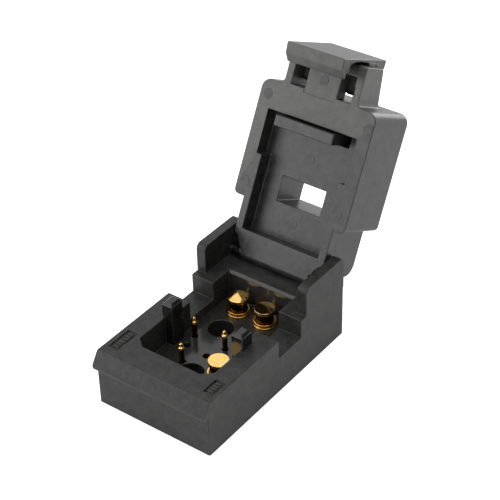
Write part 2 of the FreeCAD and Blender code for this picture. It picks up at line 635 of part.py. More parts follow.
def latch_section():
    """Outline of the cap as (length along the lid, height above its inner face)."""
    rear = [(UNDER_TOP - UNDER_REAR_DROP * t * t, UNDER_TOP_DEPTH + UNDER_REAR_REACH * t) for t in (1, 0.7, 0.4, 0)]
    front = [(UNDER_TOP - UNDER_FRONT_DROP * (1 - math.cos(a)), UNDER_TOP_DEPTH - UNDER_FRONT_REACH * math.sin(a))
             for a in map(math.radians, (28, 50, 70, 90))]
    outside = [(TOOTH_TIP, -TOOTH_TIP_LOW), (TOOTH_TIP, -TOOTH_TIP_LOW - TOOTH_TIP_THICKNESS),
               (TOOTH_TIP + TOOTH_HEIGHT, -LATCH_FRONT_LOW_DROP), (LATCH_TOP_FRONT, -LATCH_FRONT_DROP),
               (LATCH_TOP_REAR, LATCH_REACH), (LATCH_TOP_REAR - LATCH_REAR_THICKNESS, LATCH_REACH)]
    return outside + rear + front + [(TOOTH_ROOT, UNDER_TOP_DEPTH - UNDER_FRONT_REACH), (TOOTH_ROOT, -TOOTH_ROOT_LOW)]


def latch():
    cap = prism_x([(shut_y(u), shut_z(v)) for u, v in latch_section()], LATCH_HALF)
    pivot = shut_y(LATCH_PIVOT)
    height = shut_z(LATCH_PIVOT_DEPTH)
    leg = lid_block((LEG_INNER_X, LEG_OUTER_X), (LATCH_PIVOT, LATCH_TOP_FRONT - 0.2),
                    (LATCH_PIVOT_DEPTH - LEG_RADIUS, LATCH_PIVOT_DEPTH + LEG_RADIUS))
    leg = leg.fuse(axle(LEG_INNER_X, LEG_OUTER_X, pivot, height, LEG_RADIUS))
    bore = axle(-LATCH_HALF - 1, LATCH_HALF + 1, pivot, height, LATCH_PIN_RADIUS + RUN_GAP)
    return opened(cap.multiFuse(both_sides(leg)).cut(bore).removeSplitter())


def latch_springs():
    """Two coils on the latch pin, each with one leg on the chamber's floor and one under the cap."""
    h = LATCH_WIRE / 2
    y, z = shut_y(LATCH_PIVOT), shut_z(LATCH_PIVOT_DEPTH)
    start, end = LATCH_COIL_OUTER, LATCH_COIL_INNER
    ring = coil(at(start, y, z), FreeCAD.Vector(-1, 0, 0), FreeCAD.Vector(0, 0, 1), LATCH_COIL_RADIUS, LATCH_WIRE,
                start - end, LATCH_COIL_TURNS)
    leg_z = z + LATCH_COIL_RADIUS
    cap_leg = block((start - h, start + h), (y - CAP_LEG, y), (leg_z - h, leg_z + h))
    floor_leg = block((end - h, end + h), (y, shut_y(SLOT_REAR)), (leg_z - h, leg_z + h))
    return opened(Part.makeCompound(both_sides(ring.fuse([cap_leg, floor_leg]))))


def save(name, shape):
    """Write one piece after a check that it is sound."""
    if not shape.isValid():
        raise ValueError(name + " is not a valid shape")
    shape.exportStep("parts/" + name + ".step")


def main():
    save("housing", housing())
    save("retainer_plate", retainer_plate())
    save("retainer_screws", retainer_screws())
    save("hinge_pin", hinge_pin())
    save("hinge_springs", hinge_springs())
    for number, (x, y) in enumerate(POWER_PLACES, 1):
        save("power_barrel_%d" % number, power_barrel(x, y))
        save("power_plunger_%d" % number, power_plunger(x, y))
        save("power_spring_%d" % number, power_spring(x, y))
    for number, (x, y, top) in enumerate(SENSE_PLACES, 1):
        save("sense_barrel_%d" % number, sense_barrel(x, y))
        save("sense_plunger_%d" % number, sense_plunger(x, y, top))
        save("sense_spring_%d" % number, sense_spring(x, y))
    save("lid", lid())
    save("presser_bar", presser_bar())
    save("latch", latch())
    save("latch_pin", opened(latch_pin_shape(0)))
    save("latch_springs", latch_springs())


main()
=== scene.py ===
"""Clamshell test socket, dressed for its picture over the fixed frame.

Lengths are written in millimetres and turned into the frame's metres by the two maps SEAT and LID.
SEAT takes x across, y back from the base's front face and z up. LID takes x across, u along the lid from
its hinge end and v into the lid from its inner face, with the lid standing open.
"""
import logging
import math
from dataclasses import dataclass, field
from enum import Enum
from typing import Callable, Sequence

import bmesh
import bpy
from mathutils import Matrix, Vector
from mathutils.bvhtree import BVHTree
from mathutils.kdtree import KDTree


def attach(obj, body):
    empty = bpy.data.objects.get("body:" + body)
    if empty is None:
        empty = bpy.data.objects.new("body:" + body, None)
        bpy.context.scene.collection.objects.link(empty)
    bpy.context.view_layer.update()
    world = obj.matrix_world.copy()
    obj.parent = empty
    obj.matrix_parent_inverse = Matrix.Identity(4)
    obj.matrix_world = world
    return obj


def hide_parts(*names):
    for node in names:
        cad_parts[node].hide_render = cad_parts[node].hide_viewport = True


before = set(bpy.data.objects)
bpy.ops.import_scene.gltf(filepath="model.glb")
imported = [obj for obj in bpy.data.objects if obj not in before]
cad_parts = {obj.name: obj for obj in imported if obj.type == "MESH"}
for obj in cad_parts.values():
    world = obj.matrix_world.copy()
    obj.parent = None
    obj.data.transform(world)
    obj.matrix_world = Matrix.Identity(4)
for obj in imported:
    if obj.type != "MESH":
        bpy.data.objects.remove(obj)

LOG = logging.getLogger("socket")
MM = 0.001
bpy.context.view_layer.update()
WHITE = (1.0, 1.0, 1.0, 1.0)

# Edge radius of the pins, chamfer of a square tail, and the angle above which a wire's edges stay sharp
PIN_EDGE = 0.12
TAIL_CHAMFER = 0.14
WIRE_SHARP = 50.0

Pair = tuple[float, float]
Triple = tuple[float, float, float]
Outline = list[Pair]

# A rounded corner takes at most RUN_SHARE of a run, and a point is held at HOLD times its reach
RUN_SHARE = 0.36
HOLD = 1.35


class Body(Enum):
    """The rigid bodies of the frame."""

    BASE = "base"
    COVER = "cover"
    CATCH = "catch"
    POWER_1 = "power_contact_1"
    POWER_2 = "power_contact_2"
    POWER_3 = "power_contact_3"
    SENSE_1 = "sense_contact_1"
    SENSE_2 = "sense_contact_2"
    SENSE_3 = "sense_contact_3"


class Slot(Enum):
    """The material slots of the part."""

    BLACK_PLASTIC = "black_plastic"
    PLATE_PLASTIC = "plate_plastic"
    GOLD = "gold"
    SPRING_STEEL = "spring_steel"
    PIN_STEEL = "pin_steel"


# Maps from the drawing's millimetres to the frame

BASE_LENGTH = 49.7
LID_FOOT = (43.81, 16.66)
LID_LEAN = math.radians(62.72)

# Where the contacts stand, x and y in the base's millimetres, with the height of each thin one's tip
POWER_PLACES = ((6.2, 15.1), (-3.65, 35.2), (3.65, 35.2))
SENSE_PLACES = ((-3.4, 14.4, 12.0), (-6.5, 22.9, 12.2), (1.8, 23.0, 12.1))


def seat_map() -> Matrix:
    """The map from the base's millimetres, (x, y from the front face, z), to the frame."""
    return Matrix.Scale(MM, 4) @ Matrix.Translation((0.0, -BASE_LENGTH / 2, 0.0))


def lid_map() -> Matrix:
    """The map from the open lid's millimetres to the frame.

    Returns:
        A matrix that takes (x, u, v) to metres.
    """
    along = Vector((0.0, math.cos(LID_LEAN), math.sin(LID_LEAN)))
    out = Vector((0.0, math.sin(LID_LEAN), -math.cos(LID_LEAN)))
    turn = Matrix(((1, 0, 0, 0), (0, along.y, out.y, LID_FOOT[0]), (0, along.z, out.z, LID_FOOT[1]), (0, 0, 0, 1)))
    return seat_map() @ turn


SEAT = seat_map()
LID = lid_map()


# Finishes

class Nodes:
    """A node tree under construction."""

    def __init__(self, tree: bpy.types.NodeTree) -> None:
        """Take up a tree."""
        self.tree = tree

    def feed(self, node: bpy.types.Node, inputs: dict[str | int, object]) -> None:
        """Give inputs of a node what they take.

        Args:
            node: The node.
            inputs: By name or place, the output of another node or a plain value.
        """
        for key, value in inputs.items():
            if isinstance(value, bpy.types.NodeSocket):
                self.tree.links.new(value, node.inputs[key])
            else:
                node.inputs[key].default_value = value

    def add(self, kind: str, inputs: dict[str | int, object], **settings: object) -> bpy.types.Node:
        """Add a node.

        Args:
            kind: The node's type name.
            inputs: What its inputs take, as for feed.
            settings: Values for its plain properties.

        Returns:
            The new node.
        """
        node = self.tree.nodes.new(kind)
        for key, value in settings.items():
            setattr(node, key, value)
        self.feed(node, inputs)
        return node


class NodeWork(Nodes):
    """A material's node tree under construction."""

    def __init__(self, name: str) -> None:
        """Start a material that holds one Principled shader.

        Args:
            name: The material's name.
        """
        self.material = bpy.data.materials.new(name)
        self.material.use_nodes = True
        super().__init__(self.material.node_tree)

    def shade(self, inputs: dict[str, object]) -> bpy.types.Material:
        """Give the Principled shader what it takes and return the material."""
        self.feed(self.tree.nodes["Principled BSDF"], inputs)
        return self.material

    def millimetres(self) -> bpy.types.NodeSocket:
        """Object coordinates in millimetres."""
        where = self.add("ShaderNodeTexCoord", {}).outputs["Object"]
        return self.add("ShaderNodeMapping", {"Scale": (1 / MM,) * 3, "Vector": where}).outputs["Vector"]

    def noise(self, vector: bpy.types.NodeSocket, scale: float, detail: float = 3.0,
              roughness: float = 0.55) -> bpy.types.NodeSocket:
        """The factor of a noise pattern, its scale in cells per millimetre and its detail in octaves."""
        return self.add("ShaderNodeTexNoise", {"Scale": scale, "Detail": detail, "Roughness": roughness,
                                               "Vector": vector}).outputs["Fac"]

    def spread(self, value: bpy.types.NodeSocket, low: float, high: float, start: float = 0.3,
               stop: float = 0.7) -> bpy.types.NodeSocket:
        """A factor stretched so that start gives low and stop gives high."""
        return self.add("ShaderNodeMapRange", {"From Min": start, "From Max": stop, "To Min": low, "To Max": high,
                                               "Value": value}).outputs["Result"]

    def times(self, a: bpy.types.NodeSocket, b: bpy.types.NodeSocket) -> bpy.types.NodeSocket:
        """The product of two factors."""
        return self.add("ShaderNodeMath", {0: a, 1: b}, operation="MULTIPLY").outputs[0]

    def blend(self, factor: bpy.types.NodeSocket, a: object, b: object) -> bpy.types.NodeSocket:
        """Two colours, each a socket or linear RGB, mixed by a factor that is the second one's share."""
        a, b = (colour if isinstance(colour, bpy.types.NodeSocket) else (*colour, 1.0) for colour in (a, b))
        return self.add("ShaderNodeMix", {0: factor, 6: a, 7: b}, data_type="RGBA").outputs[2]

    def attribute(self, name: str) -> bpy.types.NodeSocket:
        """The factor of a mesh attribute."""
        return self.add("ShaderNodeAttribute", {}, attribute_name=name).outputs["Fac"]

    def bump(self, height: bpy.types.NodeSocket, distance: float, strength: float,
             under: bpy.types.NodeSocket | None = None) -> bpy.types.NodeSocket:
        """Surface relief.

        Args:
            height: The relief's pattern.
            distance: Its depth in millimetres.
            strength: Its share.
            under: Normal that it is laid over.

        Returns:
            The normal socket.
        """
        inputs = {"Strength": strength, "Distance": distance * MM, "Height": height}
        if under is not None:
            inputs["Normal"] = under
        return self.add("ShaderNodeBump", inputs).outputs["Normal"]


@dataclass(frozen=True)
class MouldedBlack:
    """Glass-filled black moulding compound, satin outside and polished where the tool was polished.

    The piece's mesh carries three face attributes: one that is 1 on rounded edges, whose paler colour is partly wear
    and partly a painted highlight; polish, 1 on polished faces; and the share of painted sheen on a face, a pale colour
    that stands in for light and reflection falling on it.
    """

    name: str
    dark: Triple = (0.006, 0.0058, 0.0056)
    pale: Triple = (0.031, 0.0302, 0.0294)
    # The edge tone colours the flecks, and the rounded edges, where it is partly wear and partly a painted highlight
    edge: Triple = (0.05, 0.049, 0.047)
    black: Triple = (0.010, 0.0098, 0.0095)
    # Pale tone of the painted sheen, which stands in for light and reflection on some faces
    painted_sheen_tone: Triple = (0.10, 0.098, 0.094)
    rough_low: float = 0.30
    rough_high: float = 0.42
    polished_rough: float = 0.13
    specular: float = 0.8
    grain_depth: float = 0.009
    cloud_scale: float = 0.5
    fleck_scale: float = 5.5
    grain_scale: float = 9.0
    wear_scale: float = 1.1

    def material(self) -> bpy.types.Material:
        """Build the material.

        Returns:
            The material.
        """
        work = NodeWork(self.name)
        where = work.millimetres()
        cloud = work.noise(where, self.cloud_scale, 6.0, 0.66)
        fleck = work.noise(where, self.fleck_scale, 2.0, 0.7)
        grain = work.noise(where, self.grain_scale, 3.0, 0.65)
        polish = work.attribute("polish")
        mottled = work.blend(work.spread(cloud, 0.0, 1.0, 0.36, 0.64), self.dark, self.pale)
        speckled = work.blend(work.spread(fleck, 0.0, 0.55, 0.56, 0.72), mottled, self.edge)
        # Rounded edges take the edge tone: partly wear, partly a painted highlight that stands in for light catching
        # them
        edge_wear_and_highlight = work.times(work.attribute("worn_and_lit_edge"), work.spread(work.noise(where, self.wear_scale), 0.15, 0.8))
        # Painted sheen: faces paler by a share that stands in for light and reflection falling on them
        painted_sheen = work.times(work.attribute("painted_sheen"), work.spread(cloud, 0.7, 1.3))
        clean = work.blend(edge_wear_and_highlight, work.blend(polish, speckled, self.black), self.edge)
        satin = work.spread(grain, self.rough_low, self.rough_high)
        gloss = work.spread(fleck, self.polished_rough * 0.8, self.polished_rough * 1.4)
        rough = work.add("ShaderNodeMix", {0: polish, 2: satin, 3: gloss}, data_type="FLOAT")
        rest = work.spread(polish, 1.0, 0.0, 0.0, 1.0)
        broad = work.bump(work.times(cloud, rest), self.grain_depth * 4, 0.35)
        return work.shade({"Base Color": work.blend(painted_sheen, clean, self.painted_sheen_tone),
                           "Specular IOR Level": self.specular, "Roughness": rough.outputs[0],
                           "Normal": work.bump(work.times(grain, rest), self.grain_depth, 0.55, broad)})


@dataclass(frozen=True)
class PlatedGold:
    """Bright gold plate over brass, with painted shade below a given height.

    On turned pieces the tool's marks follow the UV map named turned, v along the outline; on others they
    follow Object z.
    """

    name: str
    bright: Triple = (1.0, 0.72, 0.29)
    deep: Triple = (0.93, 0.53, 0.14)
    painted_shade: Triple = (0.10, 0.042, 0.008)
    painted_shade_below: Pair = (-2.0, -1.0)
    ring_scale: float = 14.0
    patch_scale: float = 0.9
    dent_scale: float = 2.2
    dent_depth: float = 0.004
    ring_depth: float = 0.0012
    rough_low: float = 0.02
    rough_high: float = 0.06
    on_lathe: bool = True

    def material(self) -> bpy.types.Material:
        """Build the material.

        Returns:
            The material.
        """
        work = NodeWork(self.name)
        where = work.millimetres()
        source = work.add("ShaderNodeUVMap", {}, uv_map="turned").outputs["UV"] if self.on_lathe else where
        drawn = work.add("ShaderNodeSeparateXYZ", {0: source})
        rings = work.add("ShaderNodeTexNoise", {}, noise_dimensions="1D")
        work.feed(rings, {"Scale": self.ring_scale, "Detail": 4.0, "W": drawn.outputs["Y" if self.on_lathe else "Z"]})
        patch = work.noise(where, self.patch_scale)
        height = work.add("ShaderNodeSeparateXYZ", {0: where}).outputs["Z"]
        plate = work.blend(work.spread(patch, 0.0, 1.0), self.bright, self.deep)
        # Painted shade: below a height the gold turns dark brown, standing in for the shade and dark reflections low in
        # the cavity
        darkening = work.spread(height, 1.0, 0.0, *self.painted_shade_below)
        smooth = work.bump(work.noise(where, self.dent_scale, 2.0), self.dent_depth, 0.4)
        return work.shade({"Base Color": work.blend(darkening, plate, self.painted_shade), "Metallic": 1.0,
                           "Roughness": work.spread(rings.outputs["Fac"], self.rough_low, self.rough_high),
                           "Normal": work.bump(rings.outputs["Fac"], self.ring_depth, 0.5, smooth)})


@dataclass(frozen=True)
class DrawnSteel:
    """Steel wire or ground rod with fine marks along Object x."""

    name: str
    bright: Triple = (0.62, 0.62, 0.60)
    dull: Triple = (0.36, 0.355, 0.345)
    rough_low: float = 0.18
    rough_high: float = 0.34
    stretch: Triple = (1.0, 1.0, 1.0)
    mark_scale: float = 6.0
    mark_depth: float = 0.004
    stain_scale: float = 0.8

    def material(self) -> bpy.types.Material:
        """Build the material.

        Returns:
            The material.
        """
        work = NodeWork(self.name)
        where = work.millimetres()
        drawn = work.add("ShaderNodeMapping", {"Scale": self.stretch, "Vector": where}).outputs["Vector"]
        marks = work.noise(drawn, self.mark_scale, 4.0, 0.7)
        darkening = work.spread(work.noise(where, self.stain_scale), 0.0, 1.0)
        return work.shade({"Base Color": work.blend(darkening, self.bright, self.dull), "Metallic": 1.0,
                           "Roughness": work.spread(marks, self.rough_low, self.rough_high),
                           "Normal": work.bump(marks, self.mark_depth, 0.5)})


# Mesh work

def into_scene(name: str, data: bpy.types.ID) -> bpy.types.Object:
    """Put a new object into the scene.

    Args:
        name: The object's name.
        data: Its data.

    Returns:
        The object.
    """
    placed = bpy.data.objects.new(name, data)
    bpy.context.scene.collection.objects.link(placed)
    return placed


def finished(name: str, mesh: bpy.types.Mesh, body: Body,
             replaced: Sequence[str] = ()) -> bpy.types.Object:
    """Put a finished mesh into the scene on its body.

    Args:
        name: The piece's name.
        mesh: Its mesh, already in the frame's metres.
        body: The body that it rides on.
        replaced: The frame's nodes that it takes the place of.

    Returns:
        The piece.
    """
    mesh.name = name
    piece = into_scene(name, mesh)
    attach(piece, body.value)
    if replaced:
        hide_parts(*replaced)
    LOG.info("%s: %d faces on %s", name, len(mesh.polygons), body.value)
    return piece


def solved(name: str, mesh: bpy.types.Mesh, prepare: Callable[[bpy.types.Object], None]) -> bpy.types.Mesh:
    """Run modifiers over a mesh and return the plain result.

    Args:
        name: Name for the result.
        mesh: The mesh that the modifiers start from.
        prepare: Adds the modifiers to the carrying object.

    Returns:
        The resulting mesh.
    """
    carrier = into_scene(name, mesh)
    prepare(carrier)
    graph = bpy.context.evaluated_depsgraph_get()
    result = bpy.data.meshes.new_from_object(carrier.evaluated_get(graph), preserve_all_data_layers=True,
                                             depsgraph=graph)
    carrier.modifiers.clear()
    bpy.data.objects.remove(carrier)
    bpy.data.meshes.remove(mesh)
    result.name = name
    return result


def rounded(outline: Outline, radius: float, steps: int = 3) -> Outline:
    """Round the inner corners of an open outline, with a point held near each end of a corner.

    Args:
        outline: Points as (radius, height).
        radius: Corner radius, cut down where a run is short.
        steps: Segments in each corner.

    Returns:
        The rounded outline.
    """
    points = [Vector(p) for p in outline]
    result = [tuple(points[0])]
    for before, corner, after in zip(points, points[1:], points[2:]):
        back, ahead = before - corner, after - corner
        reach = min(radius, back.length * RUN_SHARE, ahead.length * RUN_SHARE)
        back, ahead = back.normalized() * reach, ahead.normalized() * reach
        result.append(tuple(corner + back * HOLD))
        for i in range(steps + 1):
            t = i / steps
            result.append(tuple(corner + back * (1 - t) ** 2 + ahead * t ** 2))
        result.append(tuple(corner + ahead * HOLD))
    result.append(tuple(points[-1]))
    return result


@dataclass
class Lathe:
    """Closed shells turned about an upright line of the base, joined in one mesh.

    The mesh has a UV map named turned, u round the line and v along the outline in millimetres.
    """

    name: str
    x: float
    y: float

    def __post_init__(self) -> None:
        """Open the mesh."""
        self.work = bmesh.new()
        self.unwrapped = self.work.loops.layers.uv.new("turned")

    def ring(self, r: float, z: float, steps: int, start: float) -> list[bmesh.types.BMVert]:
        """One ring of vertices, or the single one on the axis.

        Args:
            r: Radius.
            z: Height.
            steps: Segments round the line.
            start: Angle of the first vertex.

        Returns:
            The vertices.
        """
        if r < 1e-6:
            return [self.work.verts.new(SEAT @ Vector((self.x, self.y, z)))]
        angles = [start + 2 * math.pi * i / steps for i in range(steps)]
        return [self.work.verts.new(SEAT @ Vector((self.x + r * math.cos(a), self.y + r * math.sin(a), z)))
                for a in angles]

    def turn(self, outline: Outline, steps: int = 72, start: float = 0.0) -> None:
        """Add a shell.

        Args:
            outline: Points as (radius, height), from the axis and back to it.
            steps: Segments round the line; four make a square bar.
            start: Angle of the first vertex.
        """
        run = [0.0]
        for a, b in zip(outline, outline[1:]):
            run.append(run[-1] + math.dist(a, b))
        rings = [self.ring(r, z, steps, start) for r, z in outline]
        for k, (low, high) in enumerate(zip(rings, rings[1:])):
            for i in range(steps):
                j = (i + 1) % steps
                corners = [(low[i % len(low)], i, k), (low[j % len(low)], i + 1, k),
                           (high[j % len(high)], i + 1, k + 1), (high[i % len(high)], i, k + 1)]
                kept = [c for n, c in enumerate(corners) if c[0] is not corners[n - 1][0]]
                face = self.work.faces.new([c[0] for c in kept])
                for loop, (_, around, along) in zip(face.loops, kept):
                    loop[self.unwrapped].uv = (around / steps, run[along])

    def square_tail(self, low: float, high: float, half: float) -> None:
        """Add a square tail between two heights, half its width given, with a chamfered tip."""
        wide, chamfer = half * math.sqrt(2), TAIL_CHAMFER
        self.turn([(0.0, low), (wide - chamfer, low), (wide, low + chamfer), (wide, high), (0.0, high)], 4, math.pi / 4)

    def mesh(self, sharp: float = 40.0) -> bpy.types.Mesh:
        """Close the mesh.

        Args:
            sharp: Edges sharper than this many degrees stay sharp.

        Returns:
            The mesh.
        """
        bmesh.ops.recalc_face_normals(self.work, faces=self.work.faces)
        mesh = bpy.data.meshes.new(self.name)
        self.work.to_mesh(mesh)
        self.work.free()
        mesh.shade_smooth()
        mesh.set_sharp_from_angle(angle=math.radians(sharp))
        return mesh


def with_material(mesh: bpy.types.Mesh, material: bpy.types.Material) -> bpy.types.Mesh:
    """Give a mesh its one material.

    Args:
        mesh: The mesh.
        material: The material.

    Returns:
        The mesh.
    """
    mesh.materials.clear()
    mesh.materials.append(material)
    return mesh


@dataclass
class MouldedShell:
    """A moulded solid of the frame with its edges rounded as a mould leaves them.

    An edge beside a narrow face is rounded by narrow_share of that face's width, and by no less than least_share
    of the whole radius. A corner whose rounding leaves the solid by more than stray_share of the radius stays sharp.
    """

    node: str
    body: Body
    slot: Slot
    edge_radius: float
    edge_steps: int = 3
    sharpest: float = 28.0
    narrow_share: float = 0.42
    least_share: float = 0.12
    stray_share: float = 0.45
    weld: float = 1.5e-6
    flat_angle: float = 0.6
    tries: int = 4
    polished: Callable[[Vector], bool] = field(default=lambda point: False)
    # Share of painted sheen on a face, a pale colour that stands in for light and reflection
    painted_sheen: Callable[[Vector, Vector], float] = field(default=lambda point, facing: 0.0)

    def bare(self, plain: set[int]) -> bpy.types.Mesh:
        """The solid's own mesh, merged, with each flat face in one piece.

        Args:
            plain: Corners whose edges stay sharp.

        Returns:
            The mesh.
        """
        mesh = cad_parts[self.node].data.copy()
        work = bmesh.new()
        work.from_mesh(mesh)
        bmesh.ops.remove_doubles(work, verts=work.verts, dist=self.weld)
        bmesh.ops.dissolve_limit(work, angle_limit=math.radians(self.flat_angle), verts=work.verts,
                                 edges=work.edges, use_dissolve_boundaries=False)
        self.weigh_edges(work, plain)
        work.to_mesh(mesh)
        work.free()
        mesh.materials.clear()
        if mesh.has_custom_normals:
            with bpy.context.temp_override(mesh=mesh):
                mesh.normals_split_custom_set([(0.0, 0.0, 0.0)] * len(mesh.loops))
        return mesh

    def weigh_edges(self, work: bmesh.types.BMesh, plain: set[int]) -> None:
        """Give each sharp edge its share of the rounding, less beside a narrow face.

        Args:
            work: The merged solid.
            plain: Corners whose edges stay sharp.
        """
        weight = work.edges.layers.float.new("bevel_weight_edge")
        work.verts.index_update()
        for edge in work.edges:
            if len(edge.link_faces) != 2 or edge.calc_face_angle() < math.radians(self.sharpest):
                continue
            if plain and any(vert.index in plain for vert in edge.verts):
                edge.smooth = False
                continue
            start = edge.verts[0].co
            run = (edge.verts[1].co - start).normalized()
            narrowest = min(max((v.co - start).cross(run).length for v in face.verts) for face in edge.link_faces)
            share = self.narrow_share * narrowest / (self.edge_radius * MM)
            edge[weight] = min(1.0, max(self.least_share, share))

    def round_edges(self, carrier: bpy.types.Object) -> None:
        """Add the edge rounding.

        Args:
            carrier: The object that holds the bare mesh.
        """
        for filler in ("faces", "edges"):
            carrier.data.materials.append(bpy.data.materials.new("%s_%s" % (self.node, filler)))
        carrier.data.shade_smooth()
        bevel = carrier.modifiers.new("rounded_edges", "BEVEL")
        bevel.width = self.edge_radius * MM
        bevel.segments = self.edge_steps
        bevel.limit_method = "WEIGHT"
        bevel.use_clamp_overlap = False
        bevel.loop_slide = True
        bevel.material = 1
        flat = carrier.modifiers.new("flat_faces", "WEIGHTED_NORMAL")
        flat.mode = "FACE_AREA"
        flat.weight = 100
        flat.keep_sharp = True

    def mark_surfaces(self, mesh: bpy.types.Mesh) -> None:
        """Write the attributes that the finish reads.

        Args:
            mesh: The rounded mesh, whose rounded edges have material index 1.
        """
        places = [face.center / MM + Vector((0, BASE_LENGTH / 2, 0)) for face in mesh.polygons]
        # Rounded edges are marked for their paler colour, partly wear and partly a painted highlight
        marks = {"worn_and_lit_edge": [float(face.material_index == 1) for face in mesh.polygons],
                 "polish": [float(self.polished(place)) for place in places],
                 # The painted sheen share: pale colour that stands in for light and reflection
                 "painted_sheen": [self.painted_sheen(place, face.normal) for place, face in zip(places, mesh.polygons)]}
        for name, shares in marks.items():
            mesh.attributes.new(name, "FLOAT", "FACE").data.foreach_set("value", shares)
        mesh.polygons.foreach_set("material_index", [0] * len(mesh.polygons))

    def strays(self, bare: bpy.types.Mesh, mesh: bpy.types.Mesh) -> set[int]:
        """Find the corners whose rounding leaves the solid.

        Args:
            bare: The solid before the rounding.
            mesh: The solid after it.

        Returns:
            Indices of the bare solid's corners.
        """
        bare.calc_loop_triangles()
        surface = BVHTree.FromPolygons([v.co for v in bare.vertices],
                                       [tuple(t.vertices) for t in bare.loop_triangles])
        corners = KDTree(len(bare.vertices))
        for vert in bare.vertices:
            corners.insert(vert.co, vert.index)
        corners.balance()
        allowed = self.stray_share * self.edge_radius * MM
        return {corners.find(vert.co)[1] for vert in mesh.vertices if surface.find_nearest(vert.co)[3] > allowed}

    def build(self, material: bpy.types.Material) -> bpy.types.Object:
        """Make the piece.

        Args:
            material: Its finish.

        Returns:
            The piece.
        """
        plain: set[int] = set()
        for _ in range(self.tries):
            bare = self.bare(plain)
            mesh = solved(self.node + "_shell", bare.copy(), self.round_edges)
            found = self.strays(bare, mesh) - plain
            bpy.data.meshes.remove(bare)
            if not found:
                break
            plain |= found
            LOG.info("%s: %d corners left sharp", self.node, len(plain))
        self.mark_surfaces(mesh)
        with_material(mesh, material)
        return finished(self.node + "_shell", mesh, self.body, [self.node])


# Trees that repeat a shape or follow a path

class Tree(Nodes):
    """A geometry node tree with named inputs."""

    def __init__(self, name: str, inputs: dict[str, str]) -> None:
        """Start a tree with geometry in and out, the named inputs and a material.

        Args:
            name: The tree's name.
            inputs: Kinds of its inputs, by name.
        """
        super().__init__(bpy.data.node_groups.new(name, "GeometryNodeTree"))
        self.tree.interface.new_socket("Geometry", in_out="OUTPUT", socket_type="NodeSocketGeometry")
        for title, kind in {"Geometry": "Geometry", **inputs, "Material": "Material"}.items():
            self.tree.interface.new_socket(title, in_out="INPUT", socket_type="NodeSocket" + kind)
        self.given = self.add("NodeGroupInput", {}).outputs

    def close(self, geometry: bpy.types.NodeSocket) -> None:
        """End the tree in smooth shading, real geometry and the material.

        Args:
            geometry: The last shape.
        """
        smooth = self.add("GeometryNodeSetShadeSmooth", {"Geometry": geometry})
        real = self.add("GeometryNodeRealizeInstances", {"Geometry": smooth.outputs["Geometry"]})
        dress = self.add("GeometryNodeSetMaterial", {"Geometry": real.outputs["Geometry"],
                                                     "Material": self.given["Material"]})
        self.add("NodeGroupOutput", {"Geometry": dress.outputs["Geometry"]})

    def apply(self, carrier: bpy.types.Object, values: dict[str, object]) -> None:
        """Lay the tree on an object with its input values.

        Args:
            carrier: The object.
            values: Input values by name.
        """
        modifier = carrier.modifiers.new(self.tree.name, "NODES")
        modifier.node_group = self.tree
        for item in self.tree.interface.items_tree:
            if item.item_type == "SOCKET" and item.in_out == "INPUT" and item.name in values:
                modifier[item.identifier] = values[item.name]

    def drawn(self, name: str, points: Sequence[Vector], edges: Sequence[tuple[int, int]], sharp: float,
              values: dict[str, object]) -> bpy.types.Mesh:
        """Run the tree over points and edges.

        Args:
            name: Name for the result.
            points: The points, in the frame's metres.
            edges: Pairs of their indices.
            sharp: Edges sharper than this many degrees stay sharp.
            values: Input values by name.

        Returns:
            The resulting mesh.
        """
        mesh = bpy.data.meshes.new(name)
        mesh.from_pydata([tuple(p) for p in points], edges, [])
        result = solved(name, mesh, lambda carrier: self.apply(carrier, values))
        result.set_sharp_from_angle(angle=math.radians(sharp))
        return result


def wire_tree() -> Tree:
    """A tree that draws round wire along a path of edges.

    Returns:
        The tree, with inputs Wire Radius, Wire Sides and Material.
    """
    tree = Tree("wire_along_path", {"Wire Radius": "Float", "Wire Sides": "Int"})
    given = tree.given
    path = tree.add("GeometryNodeMeshToCurve", {"Mesh": given["Geometry"]})
    profile = tree.add("GeometryNodeCurvePrimitiveCircle", {"Resolution": given["Wire Sides"],
                                                            "Radius": given["Wire Radius"]})
    sweep = tree.add("GeometryNodeCurveToMesh", {"Curve": path.outputs["Curve"], "Fill Caps": True,
                                                 "Profile Curve": profile.outputs["Curve"]})
    tree.close(sweep.outputs["Mesh"])
    return tree


def mark_tree(sides: int = 40, bead_sides: int = 8) -> Tree:
    """A tree that sets a low round pad with two raised rings on each point.

    Args:
        sides: Segments round the pad.
        bead_sides: Flats round a ring's section.

    Returns:
        The tree, with inputs Radius, Rim Radius, Height, Inner Share, Bead, Turn and Material.
    """
    tree = Tree("pads_on_points", {"Radius": "Float", "Rim Radius": "Float", "Height": "Float",
                                   "Inner Share": "Float", "Bead": "Float", "Turn": "Vector"})
    given = tree.given
    pad = tree.add("GeometryNodeMeshCone", {"Vertices": sides, "Radius Top": given["Rim Radius"],
                                            "Radius Bottom": given["Radius"], "Depth": given["Height"]},
                   fill_type="NGON")
    bead = tree.add("GeometryNodeCurvePrimitiveCircle", {"Resolution": bead_sides, "Radius": given["Bead"]},
                    mode="RADIUS")
    inner = tree.add("ShaderNodeMath", {0: given["Rim Radius"], 1: given["Inner Share"]}, operation="MULTIPLY")
    whole = tree.add("GeometryNodeJoinGeometry", {"Geometry": pad.outputs["Mesh"]})
    for radius in (given["Rim Radius"], inner.outputs[0]):
        ring = tree.add("GeometryNodeCurvePrimitiveCircle", {"Resolution": sides, "Radius": radius}, mode="RADIUS")
        swept = tree.add("GeometryNodeCurveToMesh", {"Curve": ring.outputs["Curve"],
                                                     "Profile Curve": bead.outputs["Curve"]})
        tree.feed(whole, {"Geometry": swept.outputs["Mesh"]})
    spots = tree.add("GeometryNodeInstanceOnPoints", {"Points": given["Geometry"], "Rotation": given["Turn"],
                                                      "Instance": whole.outputs["Geometry"]})
    tree.close(spots.outputs["Instances"])
    return tree


